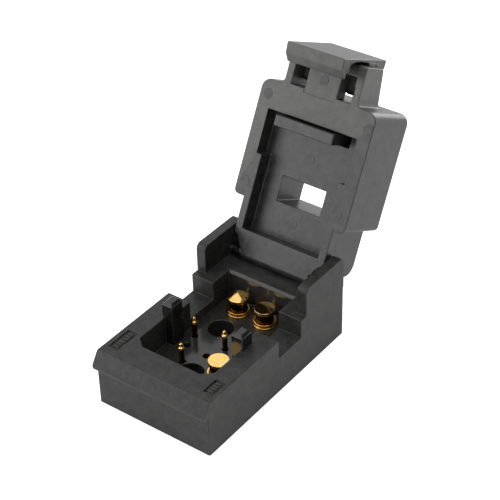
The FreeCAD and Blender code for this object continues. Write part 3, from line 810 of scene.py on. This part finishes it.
def copies_tree() -> Tree:
    """A tree that sets a copy of an object on each point.

    Returns:
        The tree, with inputs Shape and Material.
    """
    tree = Tree("copies_on_points", {"Shape": "Object"})
    shape = tree.add("GeometryNodeObjectInfo", {"Object": tree.given["Shape"]})
    spots = tree.add("GeometryNodeInstanceOnPoints", {"Points": tree.given["Geometry"],
                                                      "Instance": shape.outputs["Geometry"]})
    tree.close(spots.outputs["Instances"])
    return tree


@dataclass(frozen=True)
class Kit:
    """The finishes and the trees that the sub-assemblies draw on."""

    plastic: bpy.types.Material
    base_plastic: bpy.types.Material
    laminate: bpy.types.Material
    gold: bpy.types.Material
    barrel_gold: bpy.types.Material
    drawn_gold: bpy.types.Material
    spring_steel: bpy.types.Material
    dark_wire: bpy.types.Material
    pin_steel: bpy.types.Material
    wire: Tree
    pads: Tree
    copies: Tree


def stocked() -> Kit:
    """Make every finish and tree.
    """
    return Kit(
        plastic=MouldedBlack("moulded_black").material(),
        base_plastic=MouldedBlack("moulded_black_base", dark=(0.012, 0.0117, 0.0113), pale=(0.032, 0.0313, 0.0306),
                                  rough_low=0.42, rough_high=0.56, specular=0.5).material(),
        laminate=MouldedBlack("plate_laminate", dark=(0.035, 0.033, 0.03), pale=(0.06, 0.057, 0.052),
                              edge=(0.09, 0.085, 0.08), rough_low=0.45, rough_high=0.6).material(),
        # The plungers' gold is painted into shade below 10.25 to 10.6 mm
        gold=PlatedGold("plated_gold", painted_shade_below=(10.25, 10.6)).material(),
        barrel_gold=PlatedGold("plated_gold_barrel", bright=(1.0, 0.60, 0.17), deep=(0.95, 0.44, 0.08)).material(),
        drawn_gold=PlatedGold("plated_gold_drawn", on_lathe=False).material(),
        spring_steel=DrawnSteel("spring_wire").material(),
        # The hinge springs' wire is near black: partly a dark oxide finish, partly painted shade so that the springs
        # sink into the shade by the knuckle
        dark_wire=DrawnSteel("oxide_and_shade_wire", bright=(0.05, 0.049, 0.047), dull=(0.03, 0.03, 0.03), rough_low=0.45,
                             rough_high=0.6).material(),
        pin_steel=DrawnSteel("ground_pin", rough_low=0.2, rough_high=0.4, stretch=(0.15, 1.0, 1.0)).material(),
        wire=wire_tree(), pads=mark_tree(), copies=copies_tree())


def spring_piece(name: str, body: Body, node: str, paths: Sequence[Sequence[Vector]], wire: float, tree: Tree,
                 material: bpy.types.Material, sides: int = 10) -> bpy.types.Object:
    """Make a piece of round wire along one or more centre lines.

    Args:
        name: The piece's name.
        body: The body that it rides on.
        node: The frame's node that it stands for.
        paths: Centre lines, in the frame's metres.
        wire: Wire radius in millimetres.
        tree: The tree that draws the wire.
        material: The finish.
        sides: Flats round the wire.

    Returns:
        The piece.
    """
    points: list[Vector] = []
    edges: list[tuple[int, int]] = []
    for path in paths:
        edges += [(len(points) + i, len(points) + i + 1) for i in range(len(path) - 1)]
        points += path
    values = {"Wire Radius": wire * MM, "Wire Sides": sides, "Material": material}
    return finished(name, tree.drawn(name, points, edges, WIRE_SHARP, values), body,
                    [node] if node else [])


def helix(centre: Vector, along: Vector, first: Vector, radius: float, rise: float, turns: float,
          steps: int = 22) -> list[Vector]:
    """Centre line of a coil.

    Args:
        centre: Centre of its first turn.
        along: Unit vector of its axis.
        first: Unit vector square to the axis, at angle zero.
        radius: Mean radius.
        rise: Whole length along the axis.
        turns: Number of turns, negative for a left-hand coil.
        steps: Points in a turn.

    Returns:
        The points, in millimetres.
    """
    second = along.cross(first)
    count = int(abs(turns) * steps)
    points = []
    for i in range(count + 1):
        angle = 2 * math.pi * turns * i / count
        points.append(centre + along * (rise * i / count)
                      + (first * math.cos(angle) + second * math.sin(angle)) * radius)
    return points


# Sub-assemblies

@dataclass
class EjectorMarks:
    """Low round pads with two raised rings, as ejector pins leave them."""

    radius: float
    bead: float = 0.085
    rim_inset: float = 0.08
    height: float = 0.08
    inner_share: float = 0.45
    sharpest: float = 35.0

    def build(self, name: str, places: Sequence[Vector], lean: float, body: Body, tree: Tree,
              plastic: bpy.types.Material) -> None:
        """Set the marks.

        Args:
            name: The piece's name.
            places: Their centres, in the frame's metres.
            lean: Turn about x of the face that they stand on, in radians.
            body: The body that they ride on.
            tree: The tree that sets pads on points.
            plastic: Their finish.
        """
        values = {"Radius": self.radius * MM, "Rim Radius": (self.radius - self.rim_inset) * MM,
                  "Height": self.height * MM, "Inner Share": self.inner_share, "Bead": self.bead * MM,
                  "Turn": (lean, 0.0, 0.0), "Material": plastic}
        finished(name, tree.drawn(name, places, [], self.sharpest, values), body)


@dataclass
class Housing:
    """The moulded base with its cavity, posts, ears and catch lip."""

    edge_radius: float = 0.14
    cavity_half: float = 10.1
    cavity_y: Pair = (6.75, 39.0)
    cavity_top: float = 13.4
    post_half: float = 10.9
    post_y: Pair = (17.3, 21.1)
    polished_from: float = 6.5
    bevel_rear: float = 39.75
    bevel_z: Pair = (13.2, 14.09)
    # Shares of painted sheen, pale colour that stands in for light and reflection, on the cavity's walls and floor and
    # on the right side
    wall_sheen: float = 0.24
    floor_sheen: float = 0.2
    side_sheen: float = 0.16
    side_from: float = 14.0
    mark_radius: float = 1.25
    mark_bead: float = 0.09
    marks: tuple[Triple, ...] = ((-12.6, 29.0, 9.41), (12.6, 29.0, 9.41), (12.0, 17.1, 14.06))

    def on_post(self, point: Vector) -> bool:
        """Whether a point lies within the posts' outline."""
        return abs(point.x) < self.post_half and self.post_y[0] < point.y < self.post_y[1]

    def polished(self, point: Vector) -> bool:
        """Whether a point lies on the polished cavity or the posts.

        Args:
            point: The point, in the base's millimetres.

        Returns:
            True on a polished face.
        """
        across = abs(point.x) < self.cavity_half
        in_cavity = (across and self.cavity_y[0] < point.y < self.cavity_y[1]
                     and self.polished_from < point.z < self.cavity_top)
        on_bevel = (across and self.cavity_y[1] < point.y < self.bevel_rear
                    and self.bevel_z[0] < point.z < self.bevel_z[1])
        return in_cavity or on_bevel or (self.on_post(point) and point.z > self.polished_from)

    def painted_sheen(self, point: Vector, facing: Vector) -> float:
        """Share of painted sheen at a point, a pale colour that stands in for light and reflection: the cavity and the
        right side.

        Args:
            point: The point, in the base's millimetres.
            facing: The outward normal there.

        Returns:
            The share, from 0 to 1.
        """
        if self.polished(point) and not self.on_post(point):
            return self.wall_sheen if abs(facing.z) < 0.5 else self.floor_sheen
        if facing.x > 0.9 and point.x > self.side_from:
            return self.side_sheen
        return 0.0

    def build(self, kit: Kit) -> None:
        """Make the shell and the ejector marks on its notch floors and deck.

        Args:
            kit: Finishes and trees.
        """
        MouldedShell("housing", Body.BASE, Slot.BLACK_PLASTIC, self.edge_radius, polished=self.polished,
                     painted_sheen=self.painted_sheen).build(kit.base_plastic)
        places = [SEAT @ Vector(place) for place in self.marks]
        EjectorMarks(self.mark_radius, self.mark_bead).build("base_ejector_marks", places, 0.0, Body.BASE, kit.pads,
                                                             kit.base_plastic)


@dataclass
class Retainer:
    """The plate under the base and its countersunk screws.

    The recess is given as (radius, height over the head's face), a thread's crest as shares of the pitch.
    """

    places: tuple[Pair, ...] = ((0.0, 8.4), (0.0, 41.6))
    plate_edge: float = 0.1
    shank_radius: float = 0.7
    head_radius: float = 1.3
    head_depth: float = 0.6
    head_rim: float = 0.08
    recess: tuple[Pair, ...] = ((0.0, 0.4), (0.45, 0.35), (0.75, 0.0))
    plain_shank: float = 0.3
    pitch: float = 0.4
    thread_depth: float = 0.12
    crest: Pair = (0.4, 0.55)
    tip_inset: float = 0.2
    low: float = 0.1
    length: float = 4.6
    steps: int = 32
    sharpest: float = 30.0

    def screw_mesh(self) -> bpy.types.Mesh:
        """One screw at the map's origin.

        Returns:
            Its mesh, with thread ridges on the shank.
        """
        outline: Outline = [(r, self.low + h) for r, h in self.recess]
        outline += [(self.head_radius, self.low), (self.head_radius, self.low + self.head_rim),
                    (self.shank_radius, self.low + self.head_depth)]
        z = self.low + self.head_depth + self.plain_shank
        while z + self.pitch < self.length:
            outline += [(self.shank_radius - self.thread_depth, z), (self.shank_radius, z + self.pitch * self.crest[0]),
                        (self.shank_radius, z + self.pitch * self.crest[1])]
            z += self.pitch
        outline += [(self.shank_radius - self.tip_inset, self.length), (0.0, self.length)]
        lathe = Lathe("screw", 0.0, BASE_LENGTH / 2)
        lathe.turn(outline, self.steps)
        return lathe.mesh()

    def build(self, kit: Kit) -> None:
        """Make the plate and set the screws.

        Args:
            kit: Finishes and trees.
        """
        MouldedShell("retainer_plate", Body.BASE, Slot.PLATE_PLASTIC, self.plate_edge, edge_steps=2).build(kit.laminate)
        shape = into_scene("screw_shape", self.screw_mesh())
        places = [SEAT @ Vector((x, y, 0.0)) for x, y in self.places]
        mesh = kit.copies.drawn("screws", places, [], self.sharpest, {"Shape": shape, "Material": kit.pin_steel})
        bpy.data.objects.remove(shape)
        finished("retainer_screw_set", mesh, Body.BASE, ["retainer_screws"])


@dataclass
class Hinge:
    """The hinge pin and the two springs beside the knuckle."""

    pin_y: float = 44.88
    pin_z: float = 15.62
    coil_x: Pair = (9.65, 11.85)
    wire: float = 0.15
    radius: float = 1.15
    turns: float = 3.0
    open_angle: float = math.radians(117.28)
    deck_leg: float = 1.3
    lid_leg: float = 3.8

    def path(self, side: int) -> tuple[list[Vector], list[Vector]]:
        """Centre line of one spring, in the frame's metres.

        Args:
            side: 1 on the right, -1 on the left.

        Returns:
            The points of the deck leg and coil, and those of the lid leg.
        """
        centre = Vector((self.coil_x[0], self.pin_y, self.pin_z))
        turns = self.turns + 0.5 - self.open_angle / (2 * math.pi)
        coil = helix(centre, Vector((1, 0, 0)), Vector((0, 0, -1)), self.radius, self.coil_x[1] - self.coil_x[0],
                     turns)
        deck_tip = coil[0] + Vector((0, -self.deck_leg, 0))
        heading = Vector((0, -math.cos(self.open_angle), math.sin(self.open_angle)))
        lid_tip = coil[-1] + heading * self.lid_leg
        mirror = Matrix.Diagonal((side, 1, 1, 1))
        whole = [SEAT @ mirror @ p for p in [deck_tip, *coil, lid_tip]]
        return whole[:-1], whole[-2:]

    def build(self, kit: Kit) -> None:
        """Make the springs and dress the pin.

        Args:
            kit: Finishes and trees.
        """
        coils, legs = zip(self.path(1), self.path(-1))
        spring_piece("hinge_spring_pair", Body.BASE, "hinge_springs", coils, self.wire, kit.wire, kit.dark_wire)
        spring_piece("hinge_spring_lid_legs", Body.COVER, "", legs, self.wire, kit.wire, kit.dark_wire)
        MouldedShell("hinge_pin", Body.BASE, Slot.PIN_STEEL, PIN_EDGE).build(kit.pin_steel)


@dataclass(frozen=True)
class Coil:
    """Sizes of a contact's upright spring."""

    foot: float
    radius: float
    rise: float
    wire: float
    turns: float = 2.0
    steps: int = 22
    sides: int = 10


@dataclass
class Contact:
    """What the large and the thin sprung contacts share."""

    number: int
    x: float
    y: float

    def turned(self, part: str, lathe: Lathe, body: Body, gold: bpy.types.Material) -> None:
        """Close a turned piece that takes the place of the node part_number."""
        node = "%s_%d" % (part, self.number)
        finished(node + "_turned", with_material(lathe.mesh(), gold), body, [node])

    def plunger(self, kind: str, outline: Outline, steps: int, kit: Kit) -> None:
        """Turn the plunger.

        Args:
            kind: The contact's kind.
            outline: The plunger's section.
            steps: Segments round it.
            kit: Finishes and trees.
        """
        lathe = Lathe(kind + "_plunger", self.x, self.y)
        lathe.turn(outline, steps)
        self.turned(kind + "_plunger", lathe, Body("%s_contact_%d" % (kind, self.number)), kit.gold)

    def spring(self, kind: str, coil: Coil, kit: Kit) -> None:
        """Wind the spring.

        Args:
            kind: The contact's kind.
            coil: The spring's sizes.
            kit: Finishes and trees.
        """
        points = helix(Vector((self.x, self.y, coil.foot)), Vector((0, 0, 1)), Vector((1, 0, 0)), coil.radius,
                       coil.rise, coil.turns, coil.steps)
        node = "%s_spring_%d" % (kind, self.number)
        spring_piece(node + "_wound", Body.BASE, node, [[SEAT @ p for p in points]], coil.wire, kit.wire,
                     kit.spring_steel, coil.sides)


@dataclass
class PowerContact(Contact):
    """A large sprung contact: a gold barrel in the floor, a mushroom-headed plunger and the spring between."""

    bore: float = 2.5
    rim: float = 2.75
    mouth: float = 2.10
    head: float = 2.35
    neck: float = 2.05
    head_top: float = 11.38
    head_low: float = 10.58
    tail: Triple = (0.2, 2.1, 0.4)
    steps: int = 96
    coil: Coil = Coil(3.08, 1.6, 2.14, 0.17)

    def barrel_outline(self) -> Outline:
        """The barrel's section.

        Returns:
            Points as (radius, height).
        """
        outline = [(0.0, 2.0), (self.bore, 2.0), (self.bore, 7.0), (self.rim, 7.0), (self.rim, 7.44),
                   (self.bore + 0.02, 7.53), (self.bore + 0.02, 7.75), (self.rim - 0.08, 7.84),
                   (self.rim - 0.08, 8.3), (self.mouth, 8.3), (self.mouth, 2.9), (0.0, 2.9)]
        return rounded(outline, 0.2, 5)

    def plunger_outline(self) -> Outline:
        """The plunger's section.

        Returns:
            Points as (radius, height).
        """
        outline = [(0.0, 5.4), (self.neck, 5.4), (self.neck, self.head_low), (self.head, self.head_low + 0.16),
                   (self.head, self.head_top - 0.04), (self.head - 0.06, self.head_top), (0.0, self.head_top)]
        return rounded(outline, 0.07, 4)

    def build(self, kit: Kit) -> None:
        """Make the barrel, plunger and spring.

        Args:
            kit: Finishes and trees.
        """
        barrel = Lathe("power_barrel", self.x, self.y)
        barrel.turn(self.barrel_outline(), self.steps)
        barrel.square_tail(*self.tail)
        self.turned("power_barrel", barrel, Body.BASE, kit.barrel_gold)
        self.plunger("power", self.plunger_outline(), self.steps, kit)
        self.spring("power", self.coil, kit)


@dataclass
class SenseContact(Contact):
    """A thin sprung contact: a square barrel under the floor, a ball-tipped plunger and the spring below it."""

    top: float
    stem: float = 0.6
    ball: float = 0.5
    neck: float = 0.28
    collar: float = 0.75
    collar_drop: float = 1.15
    barrel_edge: float = 0.06
    steps: int = 48
    coil: Coil = Coil(2.38, 0.45, 1.94, 0.08, steps=16, sides=8)

    def plunger_outline(self) -> Outline:
        """The plunger's section, with its ball.

        Returns:
            Points as (radius, height).
        """
        collar_z = self.top - self.collar_drop
        ball_z = self.top - self.ball
        start = -math.acos(self.neck / self.ball)
        arc = [start + (math.pi / 2 - start) * i / 14 for i in range(15)]
        tip = [(self.ball * math.cos(a), ball_z + self.ball * math.sin(a)) for a in arc[:-1]]
        return [(0.0, 4.4), (self.stem, 4.4), (self.stem, collar_z - 0.5), (self.stem + 0.04, collar_z - 0.38),
                (self.collar - 0.05, collar_z - 0.2), (self.collar, collar_z - 0.1), (self.collar - 0.02, collar_z),
                (self.collar - 0.12, collar_z + 0.1), (self.neck + 0.1, collar_z + 0.2),
                (self.neck, collar_z + 0.27), *tip, (0.0, self.top)]

    def build(self, kit: Kit) -> None:
        """Make the barrel, plunger and spring.

        Args:
            kit: Finishes and trees.
        """
        MouldedShell("sense_barrel_%d" % self.number, Body.BASE, Slot.GOLD, self.barrel_edge,
                     edge_steps=2).build(kit.drawn_gold)
        self.plunger("sense", self.plunger_outline(), self.steps, kit)
        self.spring("sense", self.coil, kit)


@dataclass
class Lid:
    """The open lid with its pocket, window, presser bar and tab."""

    edge_radius: float = 0.22
    bar_edge: float = 0.1
    pocket_depth: float = 3.9
    face_marks: tuple[Pair, ...] = ((-12.86, 36.0), (13.7, 35.5), (-12.84, 15.6), (12.06, 15.7))
    small_marks: tuple[Pair, ...] = ((-8.48, 1.57), (7.97, 1.94))
    tab_marks: tuple[Pair, ...] = ((0.17, 42.6),)
    pocket_marks: tuple[Pair, ...] = ((0.0, 24.4), (0.0, 9.2))
    mark_sink: float = 0.04
    window_wall_x: float = -5.05
    window_u: Pair = (12.9, 19.0)
    window_from: float = 4.2
    tab_from: float = 39.5
    # Shares of painted sheen, pale colour that stands in for light and reflection, on the tab, its right side and the
    # window's left wall
    tab_sheen: float = 0.4
    tab_side_sheen: float = 0.8
    window_sheen: float = 0.35

    def painted_sheen(self, point: Vector, facing: Vector) -> float:
        """Share of painted sheen at a point, a pale colour that stands in for light and reflection: the tab, more on
        its right side, and the window's left wall.

        Args:
            point: The point, in the base's millimetres.
            facing: The outward normal there.

        Returns:
            The share, from 0 to 1.
        """
        place = LID.inverted() @ SEAT @ point
        if place.y > self.tab_from:
            return self.tab_side_sheen if facing.x > 0.5 else self.tab_sheen
        if (place.x < self.window_wall_x and self.window_u[0] < place.y < self.window_u[1]
                and place.z > self.window_from):
            return self.window_sheen
        return 0.0

    def build(self, kit: Kit) -> None:
        """Make the shell, the bar and the ejector marks on the inner face and the pocket's floor.

        Args:
            kit: Finishes and trees.
        """
        MouldedShell("lid", Body.COVER, Slot.BLACK_PLASTIC, self.edge_radius, painted_sheen=self.painted_sheen).build(kit.plastic)
        MouldedShell("presser_bar", Body.COVER, Slot.BLACK_PLASTIC, self.bar_edge).build(kit.plastic)
        for name, marks, depth, radius in (("face_marks", self.face_marks, 0.0, 1.2),
                                           ("small_marks", self.small_marks, 0.0, 0.95),
                                           ("tab_marks", self.tab_marks, 0.1, 1.1),
                                           ("pocket_marks", self.pocket_marks, self.pocket_depth, 1.05)):
            places = [LID @ Vector((x, u, depth + self.mark_sink)) for x, u in marks]
            EjectorMarks(radius).build("lid_" + name, places, LID_LEAN, Body.COVER, kit.pads, kit.plastic)


@dataclass
class Latch:
    """The latch cap on its pin, with two springs."""

    edge_radius: float = 0.25
    pivot_u: float = 42.4
    pivot_v: float = 5.6
    wire: float = 0.15
    radius: float = 1.25
    coil_x: Pair = (3.3, 1.0)
    turns: float = 3.0
    cap_leg: float = 5.7
    chamber_floor: float = 39.65
    # Shares of painted sheen, pale colour that stands in for light and reflection, on the cap's top and its other faces
    top_sheen: float = 0.16
    face_sheen: float = 0.42

    def painted_sheen(self, point: Vector, facing: Vector) -> float:
        """Share of painted sheen on the cap, a pale colour that stands in for light and reflection, less on its top."""
        return self.top_sheen if facing.z > 0.8 else self.face_sheen

    def path(self, side: int) -> list[Vector]:
        """Centre line of one spring, in the frame's metres.

        Args:
            side: 1 on the right, -1 on the left.

        Returns:
            The points, from the cap leg's tip to the floor leg's tip.
        """
        centre = Vector((self.coil_x[0], self.pivot_u, self.pivot_v))
        coil = helix(centre, Vector((-1, 0, 0)), Vector((0, 0, 1)), self.radius, self.coil_x[0] - self.coil_x[1],
                     -self.turns)
        cap_tip = coil[0] + Vector((0, self.cap_leg, 0))
        floor_tip = coil[-1] + Vector((0, self.chamber_floor - self.pivot_u, 0))
        mirror = Matrix.Diagonal((side, 1, 1, 1))
        return [LID @ mirror @ p for p in [cap_tip, *coil, floor_tip]]

    def build(self, kit: Kit) -> None:
        """Make the cap, springs and pin.

        Args:
            kit: Finishes and trees.
        """
        MouldedShell("latch", Body.CATCH, Slot.BLACK_PLASTIC, self.edge_radius, painted_sheen=self.painted_sheen).build(kit.plastic)
        MouldedShell("latch_pin", Body.COVER, Slot.PIN_STEEL, PIN_EDGE).build(kit.pin_steel)
        spring_piece("latch_spring_pair", Body.COVER, "latch_springs", [self.path(1), self.path(-1)], self.wire,
                     kit.wire, kit.spring_steel)


@dataclass
class Studio:
    """Pale floor, soft lamps, white surroundings and the camera."""

    camera_at: Triple = (0.15951, -0.20000, 0.21524)
    azimuth: float = math.radians(37.16677)
    elevation: float = math.radians(35.68533)
    roll: float = math.radians(1.45041)
    lens: float = 107.904
    sky: float = 0.46
    sky_in_gloss: float = 0.12
    floor_glow: float = 0.85
    floor_in_gloss: float = 0.2
    floor_tone: tuple[float, float, float, float] = (0.8, 0.8, 0.8, 1.0)
    floor_reach: float = 3.0
    aim: Triple = (0.0, 0.0, 0.03)
    lamp_reach: float = 0.6
    lamps: tuple[tuple[str, float, float, float, float], ...] = (
        ("key", 225, 45, 0.36, 1.7),
        ("low_left", 215, 12, 0.30, 2.3),
        ("low_key", 236, 15, 0.26, 1.75),
        ("low_front", 270, 12, 0.30, 1.0),
        ("high_front", 265, 45, 0.36, 0.5),
        ("high_left", 185, 50, 0.36, 0.3),
        ("overhead", 0, 86, 0.34, 2.2),
        ("back_panel", 127, 36, 0.50, 0.95),
        ("low_back", 90, 12, 0.30, 3.4),
        ("low_right_back", 50, 8, 0.30, 0.8))

    def camera(self) -> None:
        """Place the camera where the picture was taken from."""
        data = bpy.data.cameras.new("camera")
        data.lens = self.lens
        data.sensor_width = 36.0
        data.clip_start, data.clip_end = 0.01, 10.0
        seen = into_scene("camera", data)
        ahead = Vector((-math.sin(self.azimuth) * math.cos(self.elevation),
                        math.cos(self.azimuth) * math.cos(self.elevation), -math.sin(self.elevation)))
        right = ahead.cross(Vector((0, 0, 1))).normalized()
        down = ahead.cross(right)
        c, s = math.cos(self.roll), math.sin(self.roll)
        across, under = right * c + down * s, down * c - right * s
        turn = Matrix((across, -under, -ahead)).transposed().to_4x4()
        seen.matrix_world = Matrix.Translation(self.camera_at) @ turn
        bpy.context.scene.camera = seen

    def surroundings(self) -> None:
        """White for the camera, for reflections and through openings, and a plain level for soft light."""
        world = bpy.data.worlds.new("surroundings")
        bpy.context.scene.world = world
        world.use_nodes = True
        work = Nodes(world.node_tree)
        rays = work.add("ShaderNodeLightPath", {}).outputs
        seen = work.add("ShaderNodeMath", {0: rays["Is Camera Ray"], 1: rays["Is Transmission Ray"]},
                        operation="MAXIMUM")
        soft = work.add("ShaderNodeMapRange", {"Value": rays["Is Glossy Ray"], "To Min": self.sky,
                                               "To Max": self.sky_in_gloss})
        level = work.add("ShaderNodeMix", {0: seen.outputs[0], 2: soft.outputs["Result"], 3: 1.0})
        work.feed(work.tree.nodes["Background"], {"Color": WHITE, "Strength": level.outputs[0]})

    def floor(self) -> None:
        """A wide pale floor that keeps the part's shadow and reads white to the camera."""
        mesh = bpy.data.meshes.new("floor")
        reach = self.floor_reach
        mesh.from_pydata([(-reach, -reach, 0), (reach, -reach, 0), (reach, reach, 0), (-reach, reach, 0)], [],
                         [(0, 1, 2, 3)])
        paper = bpy.data.materials.new("floor_paper")
        paper.use_nodes = True
        work = Nodes(paper.node_tree)
        work.tree.nodes.remove(work.tree.nodes["Principled BSDF"])
        rays = work.add("ShaderNodeLightPath", {}).outputs
        gloss = work.add("ShaderNodeMath", {0: rays["Is Glossy Ray"], 1: self.floor_in_gloss}, operation="MULTIPLY")
        share = work.add("ShaderNodeMath", {0: rays["Is Camera Ray"], 1: self.floor_glow, 2: gloss.outputs[0]},
                         operation="MULTIPLY_ADD")
        diffuse = work.add("ShaderNodeBsdfDiffuse", {"Color": self.floor_tone})
        glow = work.add("ShaderNodeEmission", {"Color": WHITE, "Strength": share.outputs[0]})
        both = work.add("ShaderNodeAddShader", {0: diffuse.outputs[0], 1: glow.outputs[0]})
        work.feed(work.tree.nodes["Material Output"], {"Surface": both.outputs[0]})
        mesh.materials.append(paper)
        ground = into_scene("floor", mesh)

    def lamp(self, name: str, azimuth: float, elevation: float, size: float, radiance: float) -> None:
        """Hang a soft panel that looks at the part.

        Args:
            name: The lamp's name.
            azimuth: Where it hangs round the part, in degrees from +X.
            elevation: How high it hangs, in degrees.
            size: Its side, in metres.
            radiance: How bright its face is, where 1 is plain white.
        """
        data = bpy.data.lights.new(name, "AREA")
        data.shape = "SQUARE"
        data.size = size
        data.energy = radiance * math.pi * size * size
        a, e = math.radians(azimuth), math.radians(elevation)
        away = Vector((math.cos(a) * math.cos(e), math.sin(a) * math.cos(e), math.sin(e)))
        lamp = into_scene(name, data)
        lamp.location = Vector(self.aim) + away * self.lamp_reach
        lamp.rotation_mode = "QUATERNION"
        lamp.rotation_quaternion = (-away).to_track_quat("-Z", "Y")

    def build(self) -> None:
        """Set up the whole studio."""
        self.camera()
        self.surroundings()
        self.floor()
        for panel in self.lamps:
            self.lamp(*panel)
        bpy.context.scene.view_settings.view_transform = "Standard"


def main() -> None:
    """Dress the whole part and set up the studio."""
    logging.basicConfig(level=logging.INFO, format="%(message)s")
    Studio().build()
    kit = stocked()
    powers = [PowerContact(number, *place) for number, place in enumerate(POWER_PLACES, 1)]
    senses = [SenseContact(number, *place) for number, place in enumerate(SENSE_PLACES, 1)]
    for part in (Housing(), Retainer(), Hinge(), *powers, *senses, Lid(), Latch()):
        part.build(kit)


if __name__ == "__main__":
    main()
